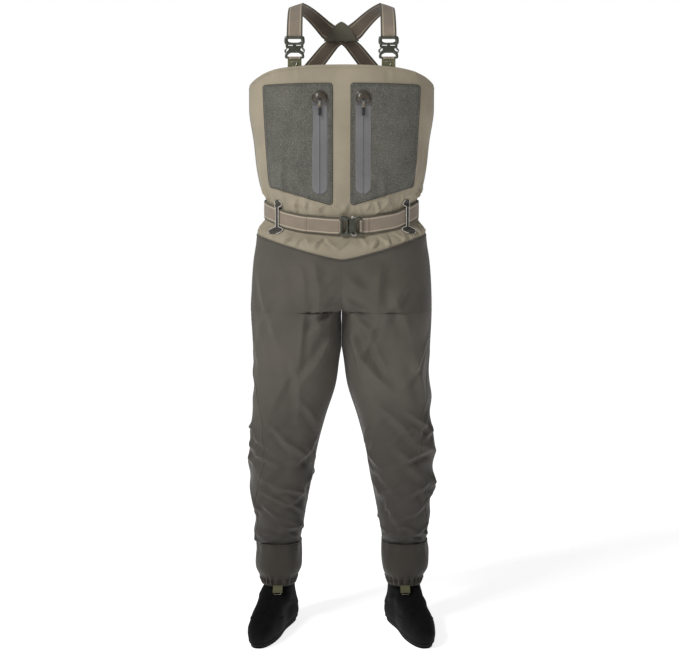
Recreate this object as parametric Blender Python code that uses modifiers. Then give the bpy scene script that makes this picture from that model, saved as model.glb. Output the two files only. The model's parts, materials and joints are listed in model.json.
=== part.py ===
"""Chest waders: stocking-foot fishing waders with a bib, braces and a belt.

Frame: +Z up, the wearer faces -Y, the wearer's left side is at +X. The soles stand on z = 0.
All lengths are metres. Cloth panels are open surfaces thickened inwards with Solidify.
"""

import math

import bmesh
import bpy
import numpy as np
from mathutils import Matrix

# ---------------------------------------------------------------- driving dimensions
INSEAM = 0.800  # height of the crotch above the soles
WAIST = INSEAM + 0.252  # height of the narrowest line, at the side seams
BIB_TOP = WAIST + 0.343  # middle of the front top edge
BIB_CORNER = BIB_TOP - 0.043  # top edge at the side seams
BACK_TOP = BIB_TOP - 0.023  # middle of the back top edge
SEAM_MID = WAIST - 0.120  # bib to leg seam at the centre front and back
SEAM_SIDE = WAIST - 0.062  # the same seam at the sides
HIP_HALF, HIP_DEPTH = 0.225, 0.125  # half width and half depth of the hips
WAIST_HALF, WAIST_DEPTH = 0.187, 0.108
CHEST_HALF, CHEST_DEPTH = 0.227, 0.130
ROUND = 2.4  # superellipse power of every body section

CLOTH = 0.0016  # laminated cloth panel with its lining
NEOPRENE = 0.0040  # sock wall
WEB = 0.0018  # webbing
GAP = 0.0003  # clearance between touching pieces
LIFT = 0.0010  # clearance under a piece that lies over curved cloth

GUARD_TOP, GUARD_BOTTOM = 0.215, 0.122  # gravel guard
HEM_BOTTOM = 0.106  # lower edge of the guard's elastic hem
LEG_END = 0.186  # leg cloth ends here, inside the guard
ANKLE_X = 0.160  # centre of each ankle from the middle
FOOT_LENGTH, FOOT_WIDTH = 0.292, 0.100
FOOT_SPLAY = math.radians(11.0)
SOLE = 0.0040  # sole plate

STRAP_X, STRAP_WIDTH = 0.112, 0.038
BUCKLE_Z = BIB_TOP + 0.016  # lower edge of each shoulder buckle
SHOULDER_Z = BUCKLE_Z + 0.144  # top of the shoulder straps
BELT_FRONT_Z, BELT_BACK_Z = WAIST - 0.039, WAIST + 0.006
BELT_WIDTH = 0.044
BELT_CENTRE_X = 0.022  # middle of the belt buckle
ZIP_X, ZIP_TOP, ZIP_BOTTOM = 0.052, BIB_TOP - 0.060, WAIST + 0.038
ZIP_TAPE_WIDTH = 0.037

SIDES = (("right", -1.0), ("left", 1.0))


# ---------------------------------------------------------------- small helpers
def through(x, knots, values):
    """Smooth curve through (knots, values) that never overshoots; x may be an array."""
    knots = np.asarray(knots, float)
    values = np.asarray(values, float)
    steps = np.diff(knots)
    rises = np.diff(values) / steps
    slopes = np.concatenate([[rises[0]], 0.5 * (rises[1:] + rises[:-1]), [rises[-1]]])
    turning = np.concatenate([[False], rises[1:] * rises[:-1] <= 0, [False]])
    slopes[turning] = 0.0
    x = np.clip(x, knots[0], knots[-1])
    i = np.clip(np.searchsorted(knots, x) - 1, 0, len(steps) - 1)
    h = steps[i]
    t = (x - knots[i]) / h
    a = values[i] * (1 + 2 * t) * (1 - t) ** 2
    b = slopes[i] * h * t * (1 - t) ** 2
    c = values[i + 1] * t * t * (3 - 2 * t)
    d = slopes[i + 1] * h * t * t * (t - 1)
    return a + b + c + d


def signed_power(value, power):
    return np.sign(value) * np.abs(value) ** power


def finish_named(name, color, roughness, metallic=0.0):
    material = bpy.data.materials.new(name)
    material.use_nodes = True
    shader = material.node_tree.nodes["Principled BSDF"]
    shader.inputs["Base Color"].default_value = (*color, 1.0)
    shader.inputs["Roughness"].default_value = roughness
    shader.inputs["Metallic"].default_value = metallic
    return material


def new_object(name, mesh, color, roughness=0.8, metallic=0.0):
    obj = bpy.data.objects.new(name, mesh)
    PARTS.objects.link(obj)
    obj.data.materials.append(finish_named(name, color, roughness, metallic))
    return obj


def grid_mesh(name, points, closed=False):
    """Quads over points[row, column]; columns run counter-clockwise seen from above."""
    rows, columns = points.shape[:2]
    index = np.arange(rows * columns).reshape(rows, columns)
    if closed:
        index = np.concatenate([index, index[:, :1]], axis=1)
    corners = [index[:-1, :-1], index[:-1, 1:], index[1:, 1:], index[1:, :-1]]
    faces = np.stack(corners, axis=-1).reshape(-1, 4)
    mesh = bpy.data.meshes.new(name)
    mesh.from_pydata(points.reshape(-1, 3).tolist(), [], faces.tolist())
    mesh.shade_smooth()
    return mesh


def sheet(name, points, thickness, color, roughness=0.8, closed=False):
    """A panel: the grid is its outer face, and Solidify gives the cloth behind it."""
    obj = new_object(name, grid_mesh(name, points, closed), color, roughness)
    solid = obj.modifiers.new("cloth", "SOLIDIFY")
    solid.thickness = thickness
    solid.offset = -1.0
    solid.use_even_offset = True
    return obj


def shell(name, outer, inner, color, roughness=0.8, closed=False):
    """A closed cloth panel between two grids: the rim joins their edges, or the two ends of a ring."""
    rows, columns = outer.shape[:2]
    count = rows * columns
    index = np.arange(count).reshape(rows, columns)
    if closed:
        index = np.concatenate([index, index[:, :1]], axis=1)
    quads = np.stack([index[:-1, :-1], index[:-1, 1:], index[1:, 1:], index[1:, :-1]], axis=-1)
    quads = quads.reshape(-1, 4)
    faces = [quads, quads[:, ::-1] + count]
    edges = [index[-1], index[0, ::-1]]
    if not closed:
        edges += [index[:, 0], index[::-1, -1]]
    for edge in edges:
        faces.append(np.stack([edge[:-1], edge[1:], edge[1:] + count, edge[:-1] + count], axis=-1))
    mesh = bpy.data.meshes.new(name)
    points = np.concatenate([outer.reshape(-1, 3), inner.reshape(-1, 3)])
    mesh.from_pydata(points.tolist(), [], np.concatenate(faces).tolist())
    mesh.shade_smooth()
    return new_object(name, mesh, color, roughness)


def apply_all(obj):
    """Make the evaluated shape the object's own mesh."""
    graph = bpy.context.evaluated_depsgraph_get()
    graph.update()
    mesh = bpy.data.meshes.new_from_object(obj.evaluated_get(graph))
    obj.modifiers.clear()
    obj.data = mesh
    return obj


def box_mesh(low, high):
    low = np.asarray(low, float)
    high = np.asarray(high, float)
    bm = bmesh.new()
    place = Matrix.Translation((low + high) / 2) @ Matrix.Diagonal((*(high - low), 1.0))
    bmesh.ops.create_cube(bm, size=1.0, matrix=place)
    mesh = bpy.data.meshes.new("box")
    bm.to_mesh(mesh)
    bm.free()
    return mesh


def cutter(name, low, high, parent):
    obj = bpy.data.objects.new(name, box_mesh(low, high))
    CUTTERS.objects.link(obj)
    obj.hide_render = True
    obj.display_type = "WIRE"
    obj.parent = parent
    return obj


def combine(obj, other, operation):
    modifier = obj.modifiers.new(operation.lower(), "BOOLEAN")
    modifier.operation = operation
    modifier.object = other
    modifier.solver = "EXACT"


def bevel(obj, width, segments=1):
    modifier = obj.modifiers.new("edges", "BEVEL")
    modifier.width = width
    modifier.segments = segments
    modifier.limit_method = "ANGLE"


def outline(name, points, half_thickness, color, roughness=0.5, metallic=0.0, holes=()):
    """A flat piece from a closed outline in x, z, thick along y."""
    curve = bpy.data.curves.new(name, "CURVE")
    curve.dimensions = "2D"
    curve.fill_mode = "BOTH"
    curve.extrude = half_thickness
    for ring in (points, *holes):
        spline = curve.splines.new("POLY")
        spline.points.add(len(ring) - 1)
        for point, (x, z) in zip(spline.points, ring):
            point.co = (x, z, 0.0, 1.0)
        spline.use_cyclic_u = True
    obj = bpy.data.objects.new(name, curve)
    PARTS.objects.link(obj)
    graph = bpy.context.evaluated_depsgraph_get()
    graph.update()
    mesh = bpy.data.meshes.new_from_object(obj.evaluated_get(graph))
    bpy.data.objects.remove(obj)
    bm = bmesh.new()
    bm.from_mesh(mesh)
    bmesh.ops.remove_doubles(bm, verts=bm.verts, dist=1e-6)
    bmesh.ops.rotate(bm, verts=bm.verts, matrix=Matrix.Rotation(math.pi / 2, 3, "X"))
    bm.to_mesh(mesh)
    bm.free()
    return new_object(name, mesh, color, roughness, metallic)


def wire(name, points, radius, color, roughness=0.3, metallic=1.0, cyclic=False):
    curve = bpy.data.curves.new(name, "CURVE")
    curve.dimensions = "3D"
    curve.bevel_depth = radius
    curve.bevel_resolution = 2
    curve.use_fill_caps = True
    spline = curve.splines.new("POLY")
    spline.points.add(len(points) - 1)
    for point, place in zip(spline.points, points):
        point.co = (*place, 1.0)
    spline.use_cyclic_u = cyclic
    return new_object(name, curve, color, roughness, metallic)


# ---------------------------------------------------------------- the body's shape
TORSO_Z = (
    INSEAM, WAIST - 0.130, WAIST - 0.092, WAIST - 0.052, WAIST - 0.024, WAIST + 0.024, WAIST + 0.048,
    WAIST + 0.088, WAIST + 0.166, WAIST + 0.248, WAIST + 0.398,
)
TORSO_HALF = (
    HIP_HALF, HIP_HALF - 0.006, HIP_HALF - 0.012, HIP_HALF - 0.019, WAIST_HALF + 0.002, WAIST_HALF,
    WAIST_HALF + 0.010, CHEST_HALF - 0.020, CHEST_HALF - 0.011, CHEST_HALF, CHEST_HALF,
)
TORSO_DEPTH = (
    HIP_DEPTH - 0.003, HIP_DEPTH, HIP_DEPTH - 0.002, HIP_DEPTH - 0.006, WAIST_DEPTH + 0.001, WAIST_DEPTH,
    WAIST_DEPTH + 0.006, CHEST_DEPTH - 0.011, CHEST_DEPTH - 0.006, CHEST_DEPTH, CHEST_DEPTH,
)

# Leg sections from the ankle up to the crotch: share of the inseam, inner and outer edge, half depth.
LEG_SHARE = (0.2325, 0.2725, 0.335, 0.41, 0.49, 0.57, 0.67, 0.77, 0.87, 1.0)
LEG_INNER = (0.110, 0.104, 0.095, 0.084, 0.071, 0.060, 0.039, 0.014, 0.005, 0.0004)
LEG_OUTER = (0.212, 0.215, 0.221, 0.231, 0.234, 0.232, 0.226, 0.220, 0.221, HIP_HALF)
LEG_DEPTH = (0.056, 0.062, 0.070, 0.081, 0.090, 0.096, 0.102, 0.107, 0.113, HIP_DEPTH - 0.003)


def torso_half(z):
    return through(z, TORSO_Z, TORSO_HALF)


def torso_depth(z):
    return through(z, TORSO_Z, TORSO_DEPTH)


def seam_height(share):
    """Height of the bib to leg seam; share is 0 at the centre and 1 at the side seam."""
    return SEAM_MID + (SEAM_SIDE - SEAM_MID) * share**1.2


def belt_height(share, front):
    """Height of the belt's middle: low at the front, a little higher at the back than at the sides."""
    centre = np.where(front, BELT_FRONT_Z, BELT_BACK_Z)
    return centre + (WAIST - centre) * share**2.8


def waisted(z, share, front):
    """The height that the side seam's profile is read at, so that the narrow line follows the belt."""
    rise = np.clip((z - seam_height(share)) / 0.045, 0, 1)
    above = np.exp(-((np.maximum(z - WAIST, 0) / 0.09) ** 2))
    return z + (WAIST - belt_height(share, front)) * rise * rise * (3 - 2 * rise) * above


def torso_point(angle, z, off=0.0):
    """Point on the torso; angle 0 is the wearer's left seam and -90 degrees the centre front."""
    c = signed_power(np.cos(angle), 2 / ROUND)
    s = signed_power(np.sin(angle), 2 / ROUND)
    level = waisted(z, np.abs(c), s < 0)
    x = (torso_half(level) + off) * c
    y = (torso_depth(level) + off) * s
    return np.stack([x, y, z + 0 * x], axis=-1)


def torso_y(x, z, off=0.0, front=True):
    """How far the torso's surface is before (or behind) the middle at x, z; always positive."""
    level = waisted(z, np.clip(np.abs(x) / CHEST_HALF, 0, 1), front)
    share = np.clip(np.abs(x) / (torso_half(level) + off), 0, 0.999)
    return (torso_depth(level) + off) * (1 - share**ROUND) ** (1 / ROUND)


def leg_section(z):
    """Centre, half width and half depth of a leg's section, which is the whole hip above the crotch."""
    heights = np.asarray(LEG_SHARE) * INSEAM
    inner = through(z, heights, LEG_INNER)
    outer = np.where(z > INSEAM, torso_half(z), through(z, heights, LEG_OUTER))
    depth = np.where(z > INSEAM, torso_depth(z), through(z, heights, LEG_DEPTH))
    rise = np.clip((z - INSEAM) / (SEAM_MID - 0.012 - INSEAM), 0, 1)
    inner = np.where(z > INSEAM, LEG_INNER[-1] - (outer + LEG_INNER[-1]) * rise**0.8, inner)
    return (outer + inner) / 2, (outer - inner) / 2, depth


def leg_point(share, z, side, front, inset=0.0):
    """Point on a leg: share 0 is the centre seam or inseam, and 1 the side seam."""
    centre, half, depth = leg_section(z)
    half = half - inset
    depth = depth - inset
    reach = np.clip((centre - GAP / 2) / half, 0, 1) ** (ROUND / 2)
    start = math.pi - np.arccos(reach)
    angle = start * (1 - share)
    x = centre + half * signed_power(np.cos(angle), 2 / ROUND)
    y = depth * signed_power(np.sin(angle), 2 / ROUND)
    x = np.maximum(x, GAP / 2)
    y = np.maximum(y, GAP / 2)
    return np.stack([side * x, -y if front else y, z + 0 * x], axis=-1)


# ---------------------------------------------------------------- cloth panels
TAN = (0.337, 0.292, 0.212)
TAUPE = (0.105, 0.094, 0.080)
GREY = (0.122, 0.122, 0.102)
OLIVE = (0.127, 0.127, 0.065)
YOKE = (0.078, 0.072, 0.051)
WEBBING = (0.270, 0.216, 0.159)
BLACK = (0.004, 0.004, 0.005)
BUCKLE = (0.102, 0.107, 0.076)
FILM = (0.240, 0.235, 0.250)
GARAGE = (0.089, 0.078, 0.061)
METAL = (0.45, 0.42, 0.36)


def make_bib():
    rise = np.concatenate([np.linspace(0, 0.32, 8), np.linspace(0.42, 1, 6)])[:, None]  # finer at the waist
    for name, start, color in (("bib_front", math.pi, TAN), ("bib_back", 0.0, TAUPE)):
        edge = 0.002
        angle = np.linspace(start + edge, start + math.pi - edge, 21)[None, :]
        share = np.abs(np.cos(angle)) ** (2 / ROUND)
        low = seam_height(share) + GAP
        if name == "bib_front":
            high = BIB_TOP - 0.012 * share**2 - (BIB_TOP - 0.012 - BIB_CORNER) * share**6
        else:
            high = BACK_TOP - (BACK_TOP - BIB_CORNER) * share**4
        z = low + (high - low) * rise
        shell(name, torso_point(angle + 0 * z, z), torso_point(angle + 0 * z, z, -CLOTH), color)


def make_legs():
    share = np.linspace(0, 1, 9)[None, :]
    rise = np.linspace(0, 1, 18)[:, None] ** 0.9
    for label, side in SIDES:
        for face in ("front", "back"):
            high = seam_height(np.abs(np.cos((1 - share) * math.pi / 2)) ** (2 / ROUND)) - GAP
            z = LEG_END + (high - LEG_END) * rise
            outer = leg_point(share + 0 * z, z, side, face == "front")
            inner = leg_point(share + 0 * z, z, side, face == "front", CLOTH)
            if (side > 0) != (face == "front"):
                outer, inner = outer[:, ::-1], inner[:, ::-1]
            shell(f"{label}_leg_{face}", outer, inner, TAUPE)


def ankle_ring(z, half, depth, side, count=24):
    """A closed oval around one ankle at each height."""
    angle = np.linspace(0, 2 * math.pi, count, endpoint=False)[None, :]
    x = side * ANKLE_X + half[:, None] * signed_power(np.cos(angle), 2 / ROUND)
    y = depth[:, None] * signed_power(np.sin(angle), 2 / ROUND)
    return np.stack([x, y, z[:, None] + 0 * x], axis=-1)


def make_guards():
    """Gravel guards: bulging cuffs sewn outside the legs, with a narrow elastic hem."""
    for label, side in SIDES:
        z = np.linspace(GUARD_BOTTOM + GAP, GUARD_TOP, 6)
        rise = (z - GUARD_BOTTOM) / (GUARD_TOP - GUARD_BOTTOM)
        half = through(rise, (0, 0.2, 0.5, 1), (0.047, 0.056, 0.0605, 0.0575))
        depth = through(rise, (0, 0.2, 0.5, 1), (0.060, 0.067, 0.0705, 0.0680))
        sheet(f"{label}_gravel_guard", ankle_ring(z, half, depth, side), 0.0012, TAUPE, closed=True)
        z = np.linspace(HEM_BOTTOM, GUARD_BOTTOM, 3)
        half = np.array([0.0435, 0.0465, 0.0465])
        depth = np.array([0.0575, 0.0600, 0.0600])
        sheet(f"{label}_guard_elastic", ankle_ring(z, half, depth, side), 0.0025, TAUPE, closed=True)


# ---------------------------------------------------------------- socks
SOCK_Z = (0.000, 0.010, 0.025, 0.040, 0.055, 0.066, 0.077, 0.087, 0.097, 0.130, 0.160, 0.192)
SOCK_TOE = (0.95, 0.985, 1.000, 0.970, 0.860, 0.680, 0.490, 0.330, 0.220, 0.210, 0.215, 0.220)
SOCK_HEEL = (0.93, 0.985, 1.000, 1.000, 0.985, 0.960, 0.930, 0.900, 0.870, 0.830, 0.850, 0.900)
SOCK_HALF = (0.43, 0.47, 0.50, 0.49, 0.455, 0.425, 0.405, 0.395, 0.385, 0.385, 0.415, 0.460)
HEEL_REACH = 0.056  # heel behind the ankle's centre


def sock_ring(z, side, count=22):
    """Horizontal outline of one sock: a long foot near the floor and an oval ankle above."""
    angle = np.linspace(0, 2 * math.pi, count, endpoint=False)[None, :]
    height = (z - SOLE)[:, None]
    toe = through(height, SOCK_Z, SOCK_TOE) * (FOOT_LENGTH - HEEL_REACH)
    heel = through(height, SOCK_Z, SOCK_HEEL) * HEEL_REACH
    half = through(height, SOCK_Z, SOCK_HALF) * FOOT_WIDTH
    s = np.sin(angle)
    along = np.where(s > 0, heel * s, toe * s)
    waist = 1 - 0.16 * np.exp(-(((along + 0.075) / 0.05) ** 2)) * (height < 0.06)
    across = half * waist * signed_power(np.cos(angle), 0.80)
    turn = FOOT_SPLAY * np.clip((0.16 - height) / 0.06, 0, 1)
    x = side * ANKLE_X + across * np.cos(turn) + side * (-along) * np.sin(turn)
    y = along * np.cos(turn) + side * across * np.sin(turn)
    return np.stack([x, y, z[:, None] + 0 * x], axis=-1)


def make_socks():
    heights = np.array([0.0, 0.008, 0.024, 0.040, 0.054, 0.064, 0.074, 0.084, 0.096, 0.125, 0.160, 0.190])
    heights = heights + SOLE + GAP
    for label, side in SIDES:
        points = sock_ring(heights, side)
        middle = points[:1].mean(axis=1, keepdims=True)
        floor = [middle + (points[:1] - middle) * share for share in (0.35, 0.7)]
        points = np.concatenate(floor + [points])
        name = f"{label}_sock"
        mesh = grid_mesh(name, points, closed=True)
        bm = bmesh.new()
        bm.from_mesh(mesh)
        bm.verts.ensure_lookup_table()
        first = [bm.verts[i] for i in range(points.shape[1])]
        bm.faces.new(first[::-1])
        bm.to_mesh(mesh)
        bm.free()
        obj = new_object(name, mesh, BLACK, 0.75)
        solid = obj.modifiers.new("neoprene", "SOLIDIFY")
        solid.thickness = NEOPRENE
        solid.offset = -1.0
        solid.use_even_offset = True
        ring = sock_ring(np.array([SOLE, SOLE]), side)[0]
        ring[:, 2] = 0.0
        bm = bmesh.new()
        base = bm.faces.new([bm.verts.new(p) for p in ring])
        lifted = bmesh.ops.extrude_face_region(bm, geom=[base])["geom"]
        moved = [v for v in lifted if isinstance(v, bmesh.types.BMVert)]
        bmesh.ops.translate(bm, verts=moved, vec=(0, 0, SOLE))
        bmesh.ops.recalc_face_normals(bm, faces=bm.faces)
        mesh = bpy.data.meshes.new(f"{label}_sole")
        bm.to_mesh(mesh)
        bm.free()
        new_object(f"{label}_sole", mesh, BLACK, 0.9)


# ---------------------------------------------------------------- chest pockets and zips
POCKET_INNER = 0.022  # inner edge from the middle
POCKET_OUTER_TOP, POCKET_OUTER_LOW = 0.190, 0.172
POCKET_TOP, POCKET_TOP_OUT = BIB_TOP - 0.043, BIB_TOP - 0.045
POCKET_LOW, POCKET_LOW_OUT = WAIST + 0.012, WAIST + 0.052
POCKET_CLOTH = 0.0012
POCKET_OFF = POCKET_CLOTH + LIFT
TAPE = 0.0012
TAPE_OFF = POCKET_OFF + TAPE + GAP


def front_patch(x, z, off):
    """Points on the front of the bib, a little before the cloth."""
    return np.stack([x, -torso_y(x, z, off), z + 0 * x], axis=-1)


def make_pockets():
    across = np.linspace(0, 1, 11)[None, :]
    up = 0.5 - 0.5 * np.cos(np.linspace(0, math.pi, 13))[:, None]
    corner = 0.007
    for label, side in SIDES:
        low = POCKET_LOW + (POCKET_LOW_OUT - POCKET_LOW) * across
        high = POCKET_TOP + (POCKET_TOP_OUT - POCKET_TOP) * across**2
        z = low + (high - low) * up
        from_edge = np.minimum(up, 1 - up) * (high - low)
        inset = corner - np.sqrt(np.maximum(corner**2 - np.maximum(corner - from_edge, 0) ** 2, 0))
        outer = POCKET_OUTER_LOW + (POCKET_OUTER_TOP - POCKET_OUTER_LOW) * np.sqrt(up)
        x = (POCKET_INNER + inset) + (outer - POCKET_INNER - 2 * inset) * across
        points = front_patch(side * x, z, POCKET_OFF)
        if side < 0:
            points = points[:, ::-1]
        sheet(f"{label}_pocket_panel", points, POCKET_CLOTH, GREY)


GARAGE_R, GARAGE_H = 0.0185, 0.0075
GARAGE_Z = ZIP_TOP - GARAGE_R + 0.0005
SLIDER_Z = GARAGE_Z - 0.010
SLIDER_LIFT = 0.0026  # slider's middle before the tape
PULL_WIDTH, PULL_LENGTH = 0.0090, 0.0196


def zip_plane(z, off):
    """Depth of the tape at the zip's line."""
    return -torso_y(ZIP_X, z, off)


def make_zips():
    half = ZIP_TAPE_WIDTH / 2
    lean = math.atan2(zip_plane(ZIP_BOTTOM, 0) - zip_plane(GARAGE_Z, 0), GARAGE_Z - ZIP_BOTTOM)
    for label, side in SIDES:
        up = (0.5 - 0.5 * np.cos(np.linspace(0, math.pi, 13)))[:, None]
        z = ZIP_BOTTOM + (ZIP_TOP + 0.002 - ZIP_BOTTOM) * up
        near = np.minimum(z - ZIP_BOTTOM, ZIP_TOP + 0.002 - z)
        width = np.sqrt(np.maximum(half**2 - np.maximum(half - near, 0) ** 2, (0.2 * half) ** 2))
        x = side * ZIP_X + np.linspace(-1, 1, 5)[None, :] * width
        sheet(f"{label}_zip_tape", front_patch(x, z + 0 * x, TAPE_OFF), TAPE, FILM, 0.35)

        # The garage is half a shallow dome, open at its lower side, where the slider parks.
        reach = np.linspace(0.02, 1, 6)[:, None]
        angle = np.linspace(math.radians(-28), math.radians(208), 15)[None, :]
        x = side * ZIP_X + GARAGE_R * reach * np.cos(angle)
        z = GARAGE_Z + GARAGE_R * reach * np.sin(angle)
        lift = GARAGE_H * np.sqrt(np.maximum(1 - reach**2, 0)) + 0.0010
        points = front_patch(x, z, TAPE_OFF + GAP)
        points[:, :, 1] -= lift
        garage = sheet(f"{label}_zip_garage", points[::-1], 0.0009, GARAGE, 0.3)
        garage.modifiers["cloth"].use_even_offset = False

        carrier = bpy.data.objects.new(f"{label}_zip_slider_axis", None)
        PARTS.objects.link(carrier)
        carrier.location = (side * ZIP_X, zip_plane(SLIDER_Z, TAPE_OFF) - SLIDER_LIFT, SLIDER_Z)
        carrier.rotation_euler = (lean, 0, 0)
        body = box_mesh((-0.004, -0.0016, -0.006), (0.004, 0.0014, 0.005))
        slider = new_object(f"{label}_zip_slider", body, METAL, 0.35, 1.0)
        slider.parent = carrier
        bevel(slider, 0.0008)
        hinge = bpy.data.objects.new(f"{label}_zip_pull_axis", None)
        PARTS.objects.link(hinge)
        hinge.parent = carrier
        hinge.location = (0, -0.0030, -0.0052)
        link = [(0.0018 * math.cos(a), -0.0003, -0.0030 + 0.0030 * math.sin(a))
                for a in np.linspace(0, 2 * math.pi, 12, endpoint=False)]
        ring = wire(f"{label}_zip_link", link, 0.0005, METAL, cyclic=True)
        ring.parent = hinge
        low = (-PULL_WIDTH / 2, -0.0015, -0.0069 - PULL_LENGTH)
        tab = new_object(f"{label}_zip_pull", box_mesh(low, (PULL_WIDTH / 2, 0.0009, -0.0069)), BLACK, 0.6)
        tab.parent = hinge
        bevel(tab, 0.0007)


# ---------------------------------------------------------------- side-release buckles
BUCKLE_HALF_T = 0.0045  # half thickness
BUCKLE_SIZE = 1.15  # scale of the drawn buckle for 38 to 44 mm webbing
BUCKLE_DRAWN = 0.0460  # its length before scaling


def make_buckle(prefix, place):
    """A side-release buckle in its own frame: x across, y thick, +z the way the plug pulls out."""
    base = bpy.data.objects.new(f"{prefix}_buckle_place", None)
    PARTS.objects.link(base)
    base.matrix_world = place @ Matrix.Scale(BUCKLE_SIZE, 4)

    half_t = BUCKLE_HALF_T
    socket = new_object(f"{prefix}_buckle_socket", box_mesh((-0.020, -half_t, 0), (0.020, half_t, 0.026)),
                        BUCKLE, 0.4)
    socket.parent = base
    for label, side in SIDES:
        low, high = sorted((side * 0.0100, side * 0.0230))
        channel = cutter(f"{prefix}_channel_{label}", (low, -0.0029, 0.0085), (high, 0.0029, 0.030), base)
        combine(socket, channel, "DIFFERENCE")
    slot = cutter(f"{prefix}_slot", (-0.0150, -0.01, 0.0028), (0.0150, 0.01, 0.0066), base)
    combine(socket, slot, "DIFFERENCE")
    throat = cutter(f"{prefix}_throat", (-0.0042, -0.0018, 0.0115), (0.0042, 0.0018, 0.030), base)
    combine(socket, throat, "DIFFERENCE")
    apply_all(socket)

    frame = [(-0.0195, 0.0280), (0.0195, 0.0280), (0.0215, 0.0330), (0.0200, 0.0460), (-0.0200, 0.0460),
             (-0.0215, 0.0330)]
    window = [(-0.0150, 0.0330), (-0.0150, 0.0405), (0.0150, 0.0405), (0.0150, 0.0330), (0.0080, 0.0312),
              (-0.0080, 0.0312)]
    plug = outline(f"{prefix}_buckle_plug", frame, 0.0032, BUCKLE, 0.4, holes=(window,))
    plug.parent = base
    tongue = cutter(f"{prefix}_tongue", (-0.0034, -0.0012, 0.0145), (0.0034, 0.0012, 0.0290), base)
    combine(plug, tongue, "UNION")
    apply_all(plug)

    for label, side in SIDES:
        pivot = bpy.data.objects.new(f"{prefix}_arm_axis_{label}", None)
        PARTS.objects.link(pivot)
        pivot.parent = base
        pivot.location = (side * 0.0158, 0, 0.0274)
        shape = [(-0.0022, 0.0), (-0.0022, -0.0165), (0.0006, -0.0165), (0.0052, -0.0130), (0.0052, -0.0085),
                 (0.0022, -0.0040), (0.0022, 0.0)]
        shape = [(side * x, z) for x, z in shape]
        arm = outline(f"{prefix}_buckle_arm_{label}", shape, 0.0022, BUCKLE, 0.4)
        arm.parent = pivot
    for mesh_owner in (socket, plug):
        mesh_owner.data.set_sharp_from_angle(angle=math.radians(30))


# ---------------------------------------------------------------- braces
TAB_WEB = 0.0014
TAB_HALF = 0.0165
# middle of the tab, inside the bib
TAB_Y = -torso_y(STRAP_X + TAB_HALF, BIB_TOP - 0.010) + CLOTH + LIFT + TAB_WEB / 2


def ribbon(name, left, right, thickness, color):
    """Webbing between two edge curves, each an array of points; the outer face looks away from the body."""
    share = np.linspace(0, 1, 3)[None, :, None]
    points = left[:, None, :] * (1 - share) + right[:, None, :] * share
    return sheet(name, points, thickness, color)


def make_braces():
    half = STRAP_WIDTH / 2
    strap_low = BUCKLE_Z + BUCKLE_DRAWN * BUCKLE_SIZE + GAP
    front_y = TAB_Y - WEB / 2
    fold_y = -0.006
    for label, side in SIDES:
        z = np.linspace(BIB_TOP - 0.025, BUCKLE_Z - GAP, 3)
        left = np.stack([0 * z + side * STRAP_X - TAB_HALF, 0 * z + TAB_Y - TAB_WEB / 2, z], axis=-1)
        right = left + [2 * TAB_HALF, 0, 0]
        ribbon(f"{label}_bib_tab", left, right, TAB_WEB, OLIVE)

        ring_z = BUCKLE_Z - 0.0070
        ring_y = TAB_Y - TAB_WEB / 2 - 0.0016
        hinge = bpy.data.objects.new(f"{label}_d_ring_axis", None)
        PARTS.objects.link(hinge)
        hinge.location = (side * STRAP_X, ring_y, ring_z)
        arc = [(0.0062 * math.cos(a), 0, -0.0010 + 0.0090 * math.sin(a))
               for a in np.linspace(math.pi, 2 * math.pi, 11)]
        loop = [(-0.0062, 0, 0)] + arc + [(0.0062, 0, 0)]
        ring = wire(f"{label}_d_ring", loop, 0.0009, METAL, cyclic=True)
        ring.parent = hinge

        turn = np.linspace(0, math.pi / 2, 10)
        outer_top, inner_top = SHOULDER_Z - 0.012, SHOULDER_Z
        edges = []
        for offset, top, top_x in ((half, outer_top, STRAP_X + 0.016), (-half, inner_top, STRAP_X - 0.020)):
            x = side * (STRAP_X + offset + (top_x - STRAP_X - offset) * turn / turn[-1])
            y = fold_y - GAP + (front_y - fold_y) * np.cos(turn)
            z = strap_low + (top - strap_low) * np.sin(turn)
            edges.append(np.stack([x, y, z], axis=-1))
        outer, inner = edges
        pair = (outer, inner) if side < 0 else (inner, outer)
        ribbon(f"{label}_strap_front", *pair, WEB, WEBBING)

        yoke_y = back_depth(0.0, YOKE_Z) + 0.001
        edges = []
        for top, top_x, end_x, end_z in (
            (outer_top, STRAP_X + 0.016, YOKE_HALF_W + 0.0015, YOKE_Z - 0.021),
            (inner_top, STRAP_X - 0.020, 0.028, YOKE_Z + 0.023),
        ):
            x = side * (top_x + (end_x - top_x) * turn / turn[-1])
            y = fold_y + GAP + (yoke_y - fold_y) * np.sin(turn)
            z = top + (end_z - top) * (1 - np.cos(turn))
            edges.append(np.stack([x, y, z], axis=-1))
        outer, inner = edges
        pair = (outer, inner) if side < 0 else (inner, outer)
        ribbon(f"{label}_strap_back", *pair, WEB, WEBBING)

        # Below the yoke each strap has crossed over, so it ends on the other side of the back.
        fall = np.linspace(0, 1, 9)
        lines = (((0.0480, YOKE_Z - 0.0290), (0.1520, BACK_TOP - 0.022)),
                 ((0.0030, YOKE_Z - 0.0310), (0.1030, BACK_TOP - 0.034)))
        edges = []
        for (x0, z0), (x1, z1) in lines:
            x = side * (x0 + (x1 - x0) * fall)
            z = z0 + (z1 - z0) * fall
            edges.append(np.stack([x, back_depth(x, z) + WEB + 2 * LIFT, z], axis=-1))
        outer, inner = edges
        pair = (outer, inner) if side < 0 else (inner, outer)
        ribbon(f"{label}_strap_anchor", *pair, WEB, WEBBING)


YOKE_Z, YOKE_HALF_W = SHOULDER_Z - 0.055, 0.044


def back_depth(x, z):
    """How far back the braces run: on the bib's back, then leaning in towards the shoulders."""
    return torso_y(x, np.minimum(z, BACK_TOP), front=False) - 0.13 * np.maximum(z - BACK_TOP - 0.01, 0)


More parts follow.
